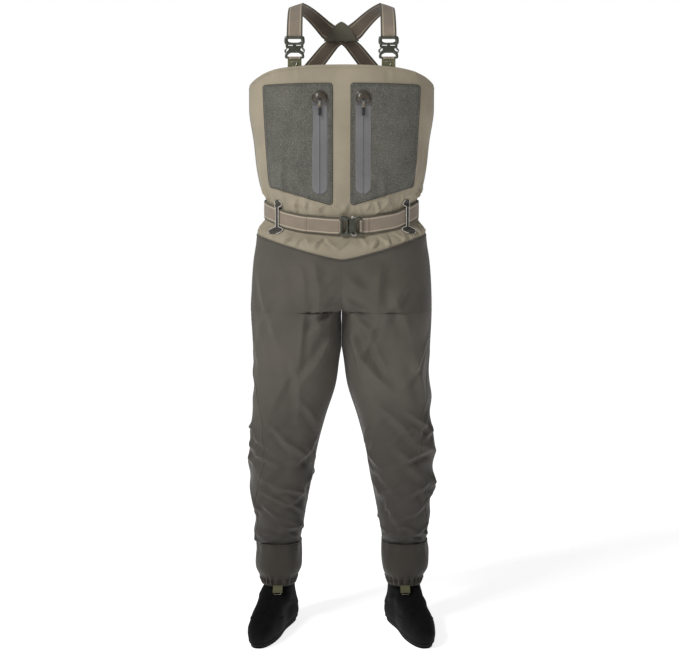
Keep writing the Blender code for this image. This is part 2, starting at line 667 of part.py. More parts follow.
def make_yoke():
    """The crossing patch: a rounded triangle with its point up."""
    shape = [(YOKE_HALF_W, -0.0240), (YOKE_HALF_W, -0.0195), (0.0365, -0.0175)]
    for angle in np.linspace(0, math.pi, 15)[1:-1]:
        rise = math.sin(angle) ** 1.35
        shape.append((float(signed_power(math.cos(angle), 1.45)) * 0.0355, 0.0415 * rise - 0.0165))
    shape += [(-0.0365, -0.0175), (-YOKE_HALF_W, -0.0195), (-YOKE_HALF_W, -0.0240)]
    yoke = outline("back_yoke", shape[::-1], 0.0030, YOKE, 0.8)
    yoke.location = (0, back_depth(0.0, YOKE_Z), YOKE_Z)


# ---------------------------------------------------------------- belt
BELT_OFF = 0.0020  # webbing off the cloth
BELT_BUCKLE_Y = (
    -torso_y(BELT_CENTRE_X, BELT_FRONT_Z - BELT_WIDTH / 2 - 0.004) - BUCKLE_HALF_T * BUCKLE_SIZE - LIFT
)
BUCKLE_LENGTH = BUCKLE_DRAWN * BUCKLE_SIZE
BELT_RIGHT_END = BELT_CENTRE_X - BUCKLE_LENGTH / 2 - 3 * GAP
BELT_LEFT_END = BELT_CENTRE_X + BUCKLE_LENGTH / 2 + 3 * GAP
TONGUE_END = BELT_RIGHT_END - 0.080


def belt_form(angle, off):
    """x, y and middle height of an upright band that clears the cloth over the belt's whole width."""
    c = signed_power(np.cos(angle), 2 / ROUND)
    s = signed_power(np.sin(angle), 2 / ROUND)
    middle = belt_height(np.abs(c), s < 0)
    levels = [waisted(middle + step, np.abs(c), s < 0) for step in (-BELT_WIDTH / 2, 0, BELT_WIDTH / 2)]
    half = np.max([torso_half(level) for level in levels], axis=0) + off
    depth = np.max([torso_depth(level) for level in levels], axis=0) + off
    return half * c, depth * s, middle


def belt_points(angle):
    x, y, middle = belt_form(angle, BELT_OFF + WEB)
    y = y - 0.0030 * np.exp(-(((x - BELT_CENTRE_X) / 0.050) ** 2)) * (y < 0)  # it rides out at the buckle
    z = middle + np.linspace(-0.5, 0.5, 3)[:, None] * BELT_WIDTH
    return np.stack([x + 0 * z, y + 0 * z, z], axis=-1)


def front_angle(x):
    """Angle on the belt's front where it reaches x."""
    width = belt_form(np.array(0.0), BELT_OFF + WEB)[0]
    swing = math.acos(min(abs(x) / width, 1.0) ** (ROUND / 2))
    return -swing if x > 0 else swing - math.pi


def make_belt():
    tongue = np.linspace(front_angle(TONGUE_END + GAP), front_angle(BELT_RIGHT_END), 7)
    sheet("belt_tongue", belt_points(tongue), WEB, WEBBING)
    start = front_angle(BELT_LEFT_END)
    end = front_angle(TONGUE_END - GAP) + 2 * math.pi
    sheet("belt_webbing", belt_points(np.linspace(start, end, 49)), WEB, WEBBING)
    turn = Matrix.Rotation(-math.pi / 2, 4, "Y")
    place = Matrix.Translation((BELT_CENTRE_X + BUCKLE_LENGTH / 2, BELT_BUCKLE_Y, BELT_FRONT_Z)) @ turn
    make_buckle("belt", place)


LOOP = 0.0014  # loop cloth
LOOP_NECK_HALF, LOOP_LOW_HALF, LOOP_HIGH_HALF = 0.0050, 0.0230, 0.0165


def make_loop(name, angle_mid):
    """A belt loop: an hourglass strip, narrow over the belt, with broad feet sewn above and below it."""
    middle = belt_form(np.array(angle_mid), 0.0)[2]
    reach = BELT_WIDTH / 2 + 0.018
    rise = np.linspace(-1, 1, 25)[:, None]
    feet = np.clip((np.abs(rise) * reach - BELT_WIDTH / 2 - 0.0015) / 0.008, 0, 1)
    feet = feet * feet * (3 - 2 * feet)
    wide = np.where(rise < 0, LOOP_LOW_HALF, LOOP_HIGH_HALF)
    lens = np.sqrt(np.clip(1 - ((np.abs(rise) - 0.81) / 0.205) ** 2, 0, 1))
    arc = (LOOP_NECK_HALF + (wide - LOOP_NECK_HALF) * lens**1.3) / WAIST_HALF
    angle = angle_mid + np.linspace(-1, 1, 7)[None, :] * arc
    z = middle + rise * reach + 0 * angle
    over_x, over_y, _ = belt_form(angle, BELT_OFF + WEB + LOOP + 0.0026)
    foot = torso_point(angle, z, LOOP + 2 * LIFT)
    x = over_x * (1 - feet) + foot[..., 0] * feet
    y = over_y * (1 - feet) + foot[..., 1] * feet
    sheet(name, np.stack([x, y, z], axis=-1), LOOP, YOKE)


def make_loops():
    make_loop("right_belt_loop", math.radians(220))
    make_loop("left_belt_loop", math.radians(-38))
    make_loop("back_belt_loop", math.radians(90))


# ---------------------------------------------------------------- lace keepers
LACE_WIDTH = 0.024
LACE_TILT = math.radians(62)  # the tab rests on the instep


def make_lace_tabs():
    for label, side in SIDES:
        hinge = bpy.data.objects.new(f"{label}_lace_tab_axis", None)
        PARTS.objects.link(hinge)
        hinge.location = (side * ANKLE_X, -0.0615, HEM_BOTTOM + 0.004)
        hinge.rotation_euler = (-LACE_TILT, 0, 0)
        strip = box_mesh((-LACE_WIDTH / 2, -0.0007, -0.026), (LACE_WIDTH / 2, 0.0007, -0.001))
        tab = new_object(f"{label}_lace_tab", strip, OLIVE)
        tab.parent = hinge
        hook = [(-0.0085, -0.0016, -0.0245), (-0.0085, -0.0016, -0.0290), (-0.0085, 0.0006, -0.0310),
                (0.0085, 0.0006, -0.0310), (0.0085, -0.0016, -0.0290), (0.0085, -0.0016, -0.0245)]
        metal = wire(f"{label}_lace_hook", hook, 0.0006, METAL)
        metal.parent = hinge


def centre_over_origin():
    """Move the whole model along Y so that its box is centred over the origin."""
    graph = bpy.context.evaluated_depsgraph_get()
    graph.update()
    depths = []
    for obj in PARTS.objects:
        if obj.type != "EMPTY":
            solid = obj.evaluated_get(graph)
            depths += [(solid.matrix_world @ vertex.co).y for vertex in solid.to_mesh().vertices]
            solid.to_mesh_clear()
    middle = (min(depths) + max(depths)) / 2
    for obj in [*PARTS.objects, *CUTTERS.objects]:
        if obj.parent is None:
            obj.location.y -= middle


# ---------------------------------------------------------------- build
for old in list(bpy.data.objects):
    bpy.data.objects.remove(old)
PARTS = bpy.data.collections.new("chest_waders")
bpy.context.scene.collection.children.link(PARTS)
CUTTERS = bpy.data.collections.new("cutters")
bpy.context.scene.collection.children.link(CUTTERS)

make_bib()
make_legs()
make_guards()
make_socks()
make_pockets()
make_zips()
make_braces()
for side_label, side_sign in SIDES:
    spot = (side_sign * STRAP_X, TAB_Y, BUCKLE_Z)
    make_buckle(side_label, Matrix.Translation(spot))
make_yoke()
make_belt()
make_loops()
make_lace_tabs()
centre_over_origin()
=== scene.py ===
"""Visual model of a pair of chest waders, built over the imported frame.

Everything is in metres: +Z up, the wearer faces -Y, the wearer's left side is at +X.
"""
import json
import logging
import math
from dataclasses import dataclass, field
from enum import Enum
from typing import Callable

import bpy
import numpy as np
from mathutils import Matrix, Vector

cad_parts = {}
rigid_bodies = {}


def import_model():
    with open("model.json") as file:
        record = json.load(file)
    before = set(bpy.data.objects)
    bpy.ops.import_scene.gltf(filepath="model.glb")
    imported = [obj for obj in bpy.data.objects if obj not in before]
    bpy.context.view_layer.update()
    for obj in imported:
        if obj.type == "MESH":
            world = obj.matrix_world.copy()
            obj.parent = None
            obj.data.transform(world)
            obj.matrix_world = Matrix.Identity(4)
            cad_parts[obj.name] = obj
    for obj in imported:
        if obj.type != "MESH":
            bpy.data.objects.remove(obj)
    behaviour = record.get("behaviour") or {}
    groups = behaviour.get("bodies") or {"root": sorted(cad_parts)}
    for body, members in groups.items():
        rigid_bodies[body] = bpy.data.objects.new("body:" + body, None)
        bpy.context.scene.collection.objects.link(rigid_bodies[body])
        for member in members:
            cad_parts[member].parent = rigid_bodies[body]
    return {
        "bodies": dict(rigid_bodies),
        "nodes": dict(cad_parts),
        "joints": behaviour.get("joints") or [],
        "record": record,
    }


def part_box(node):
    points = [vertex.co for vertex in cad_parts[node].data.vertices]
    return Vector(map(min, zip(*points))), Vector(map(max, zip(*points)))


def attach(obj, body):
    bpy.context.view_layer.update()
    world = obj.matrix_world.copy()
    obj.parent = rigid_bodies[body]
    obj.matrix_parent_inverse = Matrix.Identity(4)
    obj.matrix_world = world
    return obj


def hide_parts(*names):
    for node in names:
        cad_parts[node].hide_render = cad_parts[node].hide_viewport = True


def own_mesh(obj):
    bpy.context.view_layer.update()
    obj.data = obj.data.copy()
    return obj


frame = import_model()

LOG = logging.getLogger("waders")
Array = np.ndarray
Color = tuple[float, float, float]


# degrees round the waist
LOOP_ANGLES = {"right_belt_loop": 220.0, "left_belt_loop": -38.0, "back_belt_loop": 90.0}
STRAP_X = 0.112  # middle of each brace from the centre line


class Side(Enum):
    """Which of the wearer's sides a piece is on."""

    RIGHT = -1.0
    LEFT = 1.0

    @property
    def label(self) -> str:
        """The side's name, as the nodes and pieces carry it."""
        return self.name.lower()


# ------------------------------------------------------------------ number helpers
def through(x: Array, knots: tuple[float, ...], values: tuple[float, ...]) -> Array:
    """Run a smooth curve through knots that never overshoots them.

    Piecewise cubics share the mean of the neighbouring rises as their slope, and are level at a turn.

    Args:
        x: places to read the curve at.
        knots: rising places of the known values.
        values: the known values.

    Returns:
        The curve's values, shaped as x.
    """
    place = np.asarray(knots, float)
    value = np.asarray(values, float)
    steps = np.diff(place)
    rises = np.diff(value) / steps
    slopes = np.concatenate([[rises[0]], 0.5 * (rises[1:] + rises[:-1]), [rises[-1]]])
    slopes[np.concatenate([[False], rises[1:] * rises[:-1] <= 0, [False]])] = 0.0
    x = np.clip(x, place[0], place[-1])
    i = np.clip(np.searchsorted(place, x) - 1, 0, len(steps) - 1)
    h = steps[i]
    t = (x - place[i]) / h
    return (
        value[i] * (1 + 2 * t) * (1 - t) ** 2
        + slopes[i] * h * t * (1 - t) ** 2
        + value[i + 1] * t * t * (3 - 2 * t)
        + slopes[i + 1] * h * t * t * (t - 1)
    )


def signed_power(value: Array, power: float) -> Array:
    """Raise the size of value to a power and keep its sign."""
    return np.sign(value) * np.abs(value) ** power


def ease(x: Array, low: float, high: float) -> Array:
    """Rise smoothly from 0 at low to 1 at high."""
    t = np.clip((x - low) / (high - low), 0, 1)
    return t * t * (3 - 2 * t)


def ripple(u: Array, v: Array, size: float, seed: int, stretch: float = 1.0) -> Array:
    """Give smooth seeded noise: the mean of fourteen plane waves in scattered directions.

    Args:
        u: first coordinate, metres.
        v: second coordinate, metres.
        size: typical distance between crests.
        seed: picks the waves.
        stretch: how much longer the crests are along v than along u.

    Returns:
        Values of about -1 to 1.
    """
    dice = np.random.default_rng(seed)
    turns = dice.uniform(0, 2 * math.pi, 14)
    sizes = size * dice.uniform(0.7, 1.5, 14)
    starts = dice.uniform(0, 2 * math.pi, 14)
    total = np.zeros(np.broadcast(u, v).shape)
    for turn, wave, start in zip(turns, sizes, starts):
        total = total + np.sin(2 * math.pi / wave * (u * math.cos(turn) + v * math.sin(turn) / stretch)
                + start)
    return total / 5.0


def meet(*parts: Array | float) -> Array:
    """Broadcast coordinates against each other and put them on a last axis.

    Args:
        parts: one array or number for each coordinate.

    Returns:
        The points.
    """
    return np.stack(np.broadcast_arrays(*parts), axis=-1)


def unit(vectors: Array) -> Array:
    """Scale vectors along the last axis to length one."""
    return vectors / np.maximum(np.linalg.norm(vectors, axis=-1, keepdims=True), 1e-12)


def grid_normals(points: Array, wrap: bool = False) -> Array:
    """Normals of a grid: the cross product of its column and row tangents.

    Args:
        points: rows by columns by three.
        wrap: whether the columns close on themselves.

    Returns:
        Unit normals of the same shape.
    """
    if wrap:
        across = np.roll(points, -1, axis=1) - np.roll(points, 1, axis=1)
    else:
        across = np.gradient(points, axis=1)
    return unit(np.cross(across, np.gradient(points, axis=0)))


# ------------------------------------------------------------------ mesh building
@dataclass
class Shape:
    """Vertices, faces and per-corner pattern coordinates of one mesh."""

    points: Array
    faces: list[list[int]]
    corners: list[tuple[float, float]]

    def joined(self, *others: "Shape") -> "Shape":
        """Return this shape with others beside it, as one mesh of several bodies."""
        points, faces, corners = [self.points], list(self.faces), list(self.corners)
        count = len(self.points)
        for other in others:
            points.append(other.points)
            faces += [[i + count for i in face] for face in other.faces]
            corners += other.corners
            count += len(other.points)
        return Shape(np.concatenate(points), faces, corners)

    def outward(self) -> "Shape":
        """Return the shape with its faces turned outwards, judged by the sign of its volume."""
        total = 0.0
        for size in {len(face) for face in self.faces}:
            ring = self.points[np.array([face for face in self.faces if len(face) == size])]
            for k in range(1, size - 1):
                total += float(np.einsum("ij,ij->", ring[:, 0], np.cross(ring[:, k], ring[:, k + 1])))
        if total >= 0:
            return self
        corners, start = [], 0
        for face in self.faces:
            corners += self.corners[start : start + len(face)][::-1]
            start += len(face)
        return Shape(self.points, [face[::-1] for face in self.faces], corners)


def grid_shape(points: Array, uv: Array | None = None, wrap: bool = False, caps: bool = False) -> Shape:
    """Join a grid's points with quads.

    Args:
        points: rows by columns by three.
        uv: pattern coordinates, rows by columns (one more column when wrapping) by two.
        wrap: close the columns on themselves.
        caps: close the first and last row with one face each.

    Returns:
        The shape, open at its borders unless wrapped and capped.
    """
    rows, columns = points.shape[:2]
    index = np.arange(rows * columns).reshape(rows, columns)
    if wrap:
        index = np.concatenate([index, index[:, :1]], axis=1)
    if uv is None:
        v, u = np.meshgrid(np.linspace(0, 1, rows), np.linspace(0, 1, index.shape[1]), indexing="ij")
        uv = np.stack([u, v], axis=-1)
    order = ((slice(None, -1), slice(None, -1)), (slice(None, -1), slice(1, None)),
             (slice(1, None), slice(1, None)), (slice(1, None), slice(None, -1)))
    faces = np.stack([index[a, b] for a, b in order], axis=-1).reshape(-1, 4).tolist()
    corners = np.stack([uv[a, b] for a, b in order], axis=2).reshape(-1, 2).tolist()
    if caps:
        faces += [index[0, :columns][::-1].tolist(), index[-1, :columns].tolist()]
        corners += uv[0, :columns][::-1].tolist() + uv[-1, :columns].tolist()
    return Shape(points.reshape(-1, 3), faces, corners)


def slab(outer: Array, thickness: float | Array, uv: Array | None = None, wrap: bool = False) -> Shape:
    """Thicken a grid inwards: the same grid moved back along its normals, with rims between the two.

    Args:
        outer: rows by columns by three.
        thickness: metres, one value or one for each point.
        uv: pattern coordinates of the grid.
        wrap: close the columns on themselves.

    Returns:
        A closed shape.
    """
    depth = np.broadcast_to(np.asarray(thickness, float), outer.shape[:2])[..., None]
    inner = outer - grid_normals(outer, wrap) * depth
    front = grid_shape(outer, uv, wrap)
    back = grid_shape(inner, uv, wrap)
    count = len(front.points)
    faces = front.faces + [[i + count for i in face[::-1]] for face in back.faces]
    corners = list(front.corners)
    for k in range(0, len(back.corners), 4):
        corners += back.corners[k : k + 4][::-1]
    rows, columns = outer.shape[:2]
    index = np.arange(rows * columns).reshape(rows, columns)
    if wrap:
        index = np.concatenate([index, index[:, :1]], axis=1)
    if uv is None:
        uv = np.zeros((rows, index.shape[1], 2))
    edges = [(index[-1], uv[-1]), (index[0, ::-1], uv[0, ::-1])]
    if not wrap:
        edges += [(index[:, 0], uv[:, 0]), (index[::-1, -1], uv[::-1, -1])]
    for edge, place in edges:
        rim = np.stack([edge[:-1], edge[1:], edge[1:] + count, edge[:-1] + count], axis=-1)
        spots = np.stack([place[:-1], place[1:], place[1:], place[:-1]], axis=1)
        faces += rim.tolist()
        corners += spots.reshape(-1, 2).tolist()
    return Shape(np.concatenate([front.points, back.points]), faces, corners)


def ring_grid(points: Array, uv: Array | None = None) -> Shape:
    """Join a grid's points with quads and close it both ways, like a tyre."""
    rows, columns = points.shape[:2]
    shape = grid_shape(np.concatenate([points, points[:1]]), uv, wrap=True)
    faces = [[i % (rows * columns) for i in face] for face in shape.faces]
    return Shape(points.reshape(-1, 3), faces, shape.corners).outward()


def plate(outline: list[tuple[float, float]], low: float, high: float, edge: float = 0.0003) -> Shape:
    """A flat plate from an x, z outline between two depths, with softened rims."""
    ring = np.array(outline, float)
    middle = ring.mean(axis=0)
    inset = middle + (ring - middle) * (1 - edge / np.maximum(np.linalg.norm(ring - middle, axis=1),
            edge * 2))[:, None]
    rows = [np.stack([flat[:, 0], np.full(len(ring), y), flat[:, 1]], axis=-1) for flat, y in (
        (inset, low), (ring, low + edge), (ring, high - edge), (inset, high))]
    return grid_shape(np.stack(rows), wrap=True, caps=True).outward()


def tube(path: Array, radius: float | Array, sides: int = 10, closed: bool = False) -> Shape:
    """Carry a circle along a path: each ring lies across the path's tangent.

    Args:
        path: points along the middle, count by three.
        radius: one value or one for each point.
        sides: points round the circle.
        closed: whether the path ends where it starts.

    Returns:
        A closed shape.
    """
    if closed:
        tangent = unit(np.roll(path, -1, axis=0) - np.roll(path, 1, axis=0))
    else:
        tangent = unit(np.gradient(path, axis=0))
    spread = np.ptp(path, axis=0)
    axis = np.eye(3)[int(np.argmin(spread))]
    side = unit(np.cross(tangent, axis))
    lift = np.cross(side, tangent)
    angle = np.linspace(0, 2 * math.pi, sides, endpoint=False)
    width = np.broadcast_to(np.asarray(radius, float), (len(path),))[:, None, None]
    ring = np.cos(angle)[None, :, None] * side[:, None, :] + np.sin(angle)[None, :, None] * lift[:, None, :]
    points = path[:, None, :] + ring * width
    if closed:
        return ring_grid(points)
    return grid_shape(points, wrap=True, caps=True).outward()


def ribbon(left: Array, right: Array, thickness: float, bulge: float = 0.0, columns: int = 16) -> Shape:
    """Carry a flat rounded section between two edge curves.

    The section is a rounded rectangle: pattern u runs 0 to 1 across it, and v is the length in metres.

    Args:
        left: one edge's points, seen from outside.
        right: the other edge's points.
        thickness: webbing thickness, laid inwards of the edges.
        bulge: how far the middle stands proud of the edges.
        columns: points across one face.

    Returns:
        A closed shape.
    """
    share = 0.5 - 0.5 * np.cos(np.linspace(0, math.pi, columns))
    middle = left[:, None, :] * (1 - share)[None, :, None] + right[:, None, :] * share[None, :, None]
    normal = grid_normals(middle)
    rounding = np.clip(np.minimum(share, 1 - share) / 0.03, 0, 1)
    half = thickness / 2 * np.sqrt(np.maximum(1 - (1 - rounding) ** 2, 0.02))[None, :, None]
    crown = (bulge * 4 * share * (1 - share))[None, :, None]
    front = middle + normal * (half + crown - thickness / 2)
    back = middle + normal * (crown - half - thickness / 2)
    points = np.concatenate([front, back[:, ::-1]], axis=1)
    centre = (left + right) / 2
    run = np.concatenate([[0], np.cumsum(np.linalg.norm(np.diff(centre, axis=0), axis=1))])
    u = np.concatenate([share, share[::-1], share[:1]])
    uv = meet(u[None, :], run[:, None])
    return grid_shape(points, uv, wrap=True, caps=True).outward()


def stitches(path: Array, normal: Array, length: float = 0.0028, gap: float = 0.0012,
             radius: float = 0.00035) -> Shape:
    """Lay short rounded threads in a row along a path.

    Each thread is a six-sided spindle: a half ellipse that rises from the cloth and goes back in.

    Args:
        path: points along the row.
        normal: outward direction at each of them.
        length: length of one thread.
        gap: cloth between two threads.
        radius: thread radius.

    Returns:
        All the threads as one shape of several bodies.
    """
    run = np.concatenate([[0], np.cumsum(np.linalg.norm(np.diff(path, axis=0), axis=1))])
    count = max(int(run[-1] / (length + gap)), 1)
    starts = (np.arange(count) + 0.15) * run[-1] / count
    steps = np.linspace(0, 1, 4)
    at = starts[:, None] + steps[None, :] * length
    middle = np.stack([np.interp(at, run, path[:, k]) for k in range(3)], axis=-1)
    up = unit(np.stack([np.interp(at, run, normal[:, k]) for k in range(3)], axis=-1))
    along = unit(middle[:, -1:] - middle[:, :1])
    side = np.cross(up, along)
    angle = np.linspace(0, 2 * math.pi, 5, endpoint=False)
    width = (radius * np.array([0.45, 1.0, 1.0, 0.45]))[None, :, None, None]
    rise = (radius * np.array([-0.7, 0.5, 0.5, -0.7]))[None, :, None]
    ring = np.cos(angle)[None, None, :, None] * side[:, :, None, :] + np.sin(angle)[None, None, :,
            None] * up[:, :, None, :]
    points = (middle + up * rise)[:, :, None, :] + ring * width
    one = grid_shape(points[0], wrap=True, caps=True)
    size = len(one.points)
    faces = [[i + size * k for i in face] for k in range(count) for face in one.faces]
    return Shape(points.reshape(-1, 3), faces, one.corners * count).outward()


def put(name: str, shape: Shape, material: bpy.types.Material, body: str = "garment",
        replaces: tuple[str, ...] = (), smooth_angle: float = 40.0) -> bpy.types.Object:
    """Make a piece's object at the origin, dress it and hang it on its body.

    Args:
        name: the piece's name.
        shape: its mesh data, already in place.
        material: its finish.
        body: the body that it rides on.
        replaces: frame nodes that it stands for.
        smooth_angle: edges sharper than this stay crisp, in degrees.

    Returns:
        The new object.
    """
    mesh = bpy.data.meshes.new(name)
    mesh.from_pydata(shape.points.tolist(), [], shape.faces)
    layer = mesh.uv_layers.new(name="UVMap")
    layer.data.foreach_set("uv", np.asarray(shape.corners, np.float32).ravel())
    mesh.shade_smooth()
    mesh.set_sharp_from_angle(angle=math.radians(smooth_angle))
    mesh.materials.append(material)
    obj = bpy.data.objects.new(name, mesh)
    bpy.context.scene.collection.objects.link(obj)
    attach(obj, body)
    if replaces:
        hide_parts(*replaces)
    LOG.info("made %s: %d faces", name, len(shape.faces))
    return obj


# ------------------------------------------------------------------ finishes
class Graph:
    """A node tree being wired, with short calls for adding and joining nodes."""

    def __init__(self, tree: bpy.types.NodeTree) -> None:
        """Hold the tree."""
        self.tree = tree

    def node(self, kind: str, values: dict[str | int, object] | None = None,
            **settings: object) -> bpy.types.Node:
        """Add a node, set its options and its inputs; an output socket as a value is linked.

        Args:
            kind: the node's type without its ShaderNode prefix.
            values: input name or number to a value or an output socket.
            settings: attributes of the node.

        Returns:
            The node.
        """
        node = self.tree.nodes.new(f"ShaderNode{kind}")
        for name, value in settings.items():
            setattr(node, name, value)
        for key, value in (values or {}).items():
            if isinstance(value, bpy.types.NodeSocket):
                self.tree.links.new(value, node.inputs[key])
            else:
                node.inputs[key].default_value = value
        return node

    def feed(self, value: bpy.types.NodeSocket, shader: bpy.types.Node, name: str) -> None:
        """Link a value to one of a shader's named inputs."""
        self.tree.links.new(value, shader.inputs[name])

    def math(self, operation: str, *values: object) -> bpy.types.NodeSocket:
        """Add a math node on values or sockets and return its result."""
        return self.node("Math", dict(enumerate(values)), operation=operation).outputs[0]

    def mix(self, share: object, low: object, high: object) -> bpy.types.NodeSocket:
        """Mix two colours and return the result."""
        node = self.node("Mix", data_type="RGBA")
        for index, value in ((0, share), (6, low), (7, high)):
            if isinstance(value, bpy.types.NodeSocket):
                self.tree.links.new(value, node.inputs[index])
            else:
                node.inputs[index].default_value = value
        return node.outputs[2]

    def band(self, value: bpy.types.NodeSocket, low: float, high: float) -> bpy.types.NodeSocket:
        """Return 0 below low and 1 above high, smooth in between."""
        node = self.node("MapRange", {"Value": value, "From Min": low, "From Max": high},
                         interpolation_type="SMOOTHSTEP")
        return node.outputs["Result"]


def rgba(color: Color, gain: float = 1.0) -> tuple[float, float, float, float]:
    """Add an opaque alpha to a colour, brightened by gain."""
    return (color[0] * gain, color[1] * gain, color[2] * gain, 1.0)


class Effects:
    """Shader node groups that several finishes share, each built once."""

    def __init__(self) -> None:
        """Build every group."""
        self.weave = self._weave()
        self.mottle = self._mottle()
        self.heather = self._heather()
        self.wear = self._wear()

    @staticmethod
    def _new(name: str, inputs: dict[str, tuple[str, float]], outputs: dict[str, str]
             ) -> tuple[bpy.types.NodeTree, Graph, bpy.types.Node, bpy.types.Node]:
        """Start a group with named sockets and return it with its wiring, input and output nodes."""
        tree = bpy.data.node_groups.new(name, "ShaderNodeTree")
        for key, (kind, value) in inputs.items():
            socket = tree.interface.new_socket(key, in_out="INPUT", socket_type=kind)
            if kind == "NodeSocketFloat":
                socket.default_value = value
        for key, kind in outputs.items():
            tree.interface.new_socket(key, in_out="OUTPUT", socket_type=kind)
        return tree, Graph(tree), tree.nodes.new("NodeGroupInput"), tree.nodes.new("NodeGroupOutput")

    def _weave(self) -> bpy.types.NodeTree:
        """Plain weave: the product of two sine waves, in threads per metre, on the pattern coordinates."""
        tree, g, start, end = self._new(
            "plain_weave", {"Vector": ("NodeSocketVector", 0), "Threads": ("NodeSocketFloat", 1500.0)},
            {"Height": "NodeSocketFloat"})
        parts = g.node("SeparateXYZ", {0: start.outputs["Vector"]})
        waves = []
        for axis in ("X", "Y"):
            turn = g.math("MULTIPLY", g.math("MULTIPLY", parts.outputs[axis], start.outputs["Threads"]),
                    math.pi)
            waves.append(g.math("SINE", turn))
        height = g.math("MULTIPLY_ADD", g.math("MULTIPLY", waves[0], waves[1]), 0.5, 0.5)
        tree.links.new(height, end.inputs["Height"])
        return tree

    def _mottle(self) -> bpy.types.NodeTree:
        """Slow colour drift and small crinkle, both from noise over the cloth."""
        tree, g, start, end = self._new(
            "mottle", {"Vector": ("NodeSocketVector", 0), "Size": ("NodeSocketFloat", 9.0)},
            {"Drift": "NodeSocketFloat", "Crinkle": "NodeSocketFloat"})
        slow = g.node("TexNoise", {"Vector": start.outputs["Vector"], "Scale": start.outputs["Size"],
                                   "Detail": 3.0, "Roughness": 0.55})
        fast = g.node("TexNoise", {"Vector": start.outputs["Vector"],
                                   "Scale": g.math("MULTIPLY", start.outputs["Size"], 7.0),
                                   "Detail": 4.0, "Roughness": 0.6, "Distortion": 0.6})
        tree.links.new(slow.outputs["Fac"], end.inputs["Drift"])
        tree.links.new(fast.outputs["Fac"], end.inputs["Crinkle"])
        return tree

    def _heather(self) -> bpy.types.NodeTree:
        """Heathered yarn: two stretched noises that pick light and dark fibres."""
        tree, g, start, end = self._new(
            "heather", {"Vector": ("NodeSocketVector", 0), "Size": ("NodeSocketFloat", 420.0)},
            {"Light": "NodeSocketFloat", "Dark": "NodeSocketFloat", "Height": "NodeSocketFloat"})
        masks = []
        for shift, stretch in ((0.0, (1.0, 1.0, 0.45)), (7.3, (0.5, 1.0, 1.0))):
            placed = g.node("Mapping", {"Vector": start.outputs["Vector"], "Location": (shift, shift, shift),
                                        "Scale": stretch})
            noise = g.node("TexNoise", {"Vector": placed.outputs[0], "Scale": start.outputs["Size"],
                                        "Detail": 2.0, "Roughness": 0.6})
            masks.append(noise.outputs["Fac"])
        tree.links.new(g.band(masks[0], 0.53, 0.66), end.inputs["Light"])
        tree.links.new(g.band(masks[1], 0.54, 0.67), end.inputs["Dark"])
        tree.links.new(g.math("ADD", masks[0], masks[1]), end.inputs["Height"])
        return tree

    def _wear(self) -> bpy.types.NodeTree:
        """Handling wear on hard parts: fine grain and soft scuffed patches."""
        tree, g, start, end = self._new(
            "handling_wear", {"Vector": ("NodeSocketVector", 0)},
            {"Grain": "NodeSocketFloat", "Scuff": "NodeSocketFloat"})
        grain = g.node("TexNoise", {"Vector": start.outputs["Vector"], "Scale": 2600.0, "Detail": 2.0})
        patch = g.node("TexNoise", {"Vector": start.outputs["Vector"], "Scale": 160.0, "Detail": 5.0,
                                    "Roughness": 0.7, "Distortion": 0.4})
        tree.links.new(grain.outputs["Fac"], end.inputs["Grain"])
        tree.links.new(g.band(patch.outputs["Fac"], 0.52, 0.72), end.inputs["Scuff"])
        return tree


@dataclass(frozen=True)
class Finish:
    """What every finish has: a name, a main colour and a roughness."""

    name: str
    color: Color
    roughness: float = 0.8

    def begin(self) -> tuple[bpy.types.Material, Graph, bpy.types.Node, bpy.types.Node]:
        """Start the material and return it with its wiring, shader and coordinate nodes."""
        material = bpy.data.materials.new(self.name)
        material.use_nodes = True
        graph = Graph(material.node_tree)
        shader = material.node_tree.nodes["Principled BSDF"]
        shader.inputs["Base Color"].default_value = rgba(self.color)
        shader.inputs["Roughness"].default_value = self.roughness
        return material, graph, shader, graph.node("TexCoord")

    def group(self, graph: Graph, tree: bpy.types.NodeTree, values: dict[str, object]) -> bpy.types.Node:
        """Place a shared effect in the material with its own values."""
        node = graph.tree.nodes.new("ShaderNodeGroup")
        node.node_tree = tree
        for key, value in values.items():
            if isinstance(value, bpy.types.NodeSocket):
                graph.tree.links.new(value, node.inputs[key])
            else:
                node.inputs[key].default_value = value
        return node

    def bump(self, graph: Graph, shader: bpy.types.Node, height: object, strength: float,
             distance: float) -> None:
        """Feed a height through a Bump node to the shader's normal."""
        node = graph.node("Bump", {"Height": height, "Strength": strength, "Distance": distance})
        graph.tree.links.new(node.outputs[0], shader.inputs["Normal"])


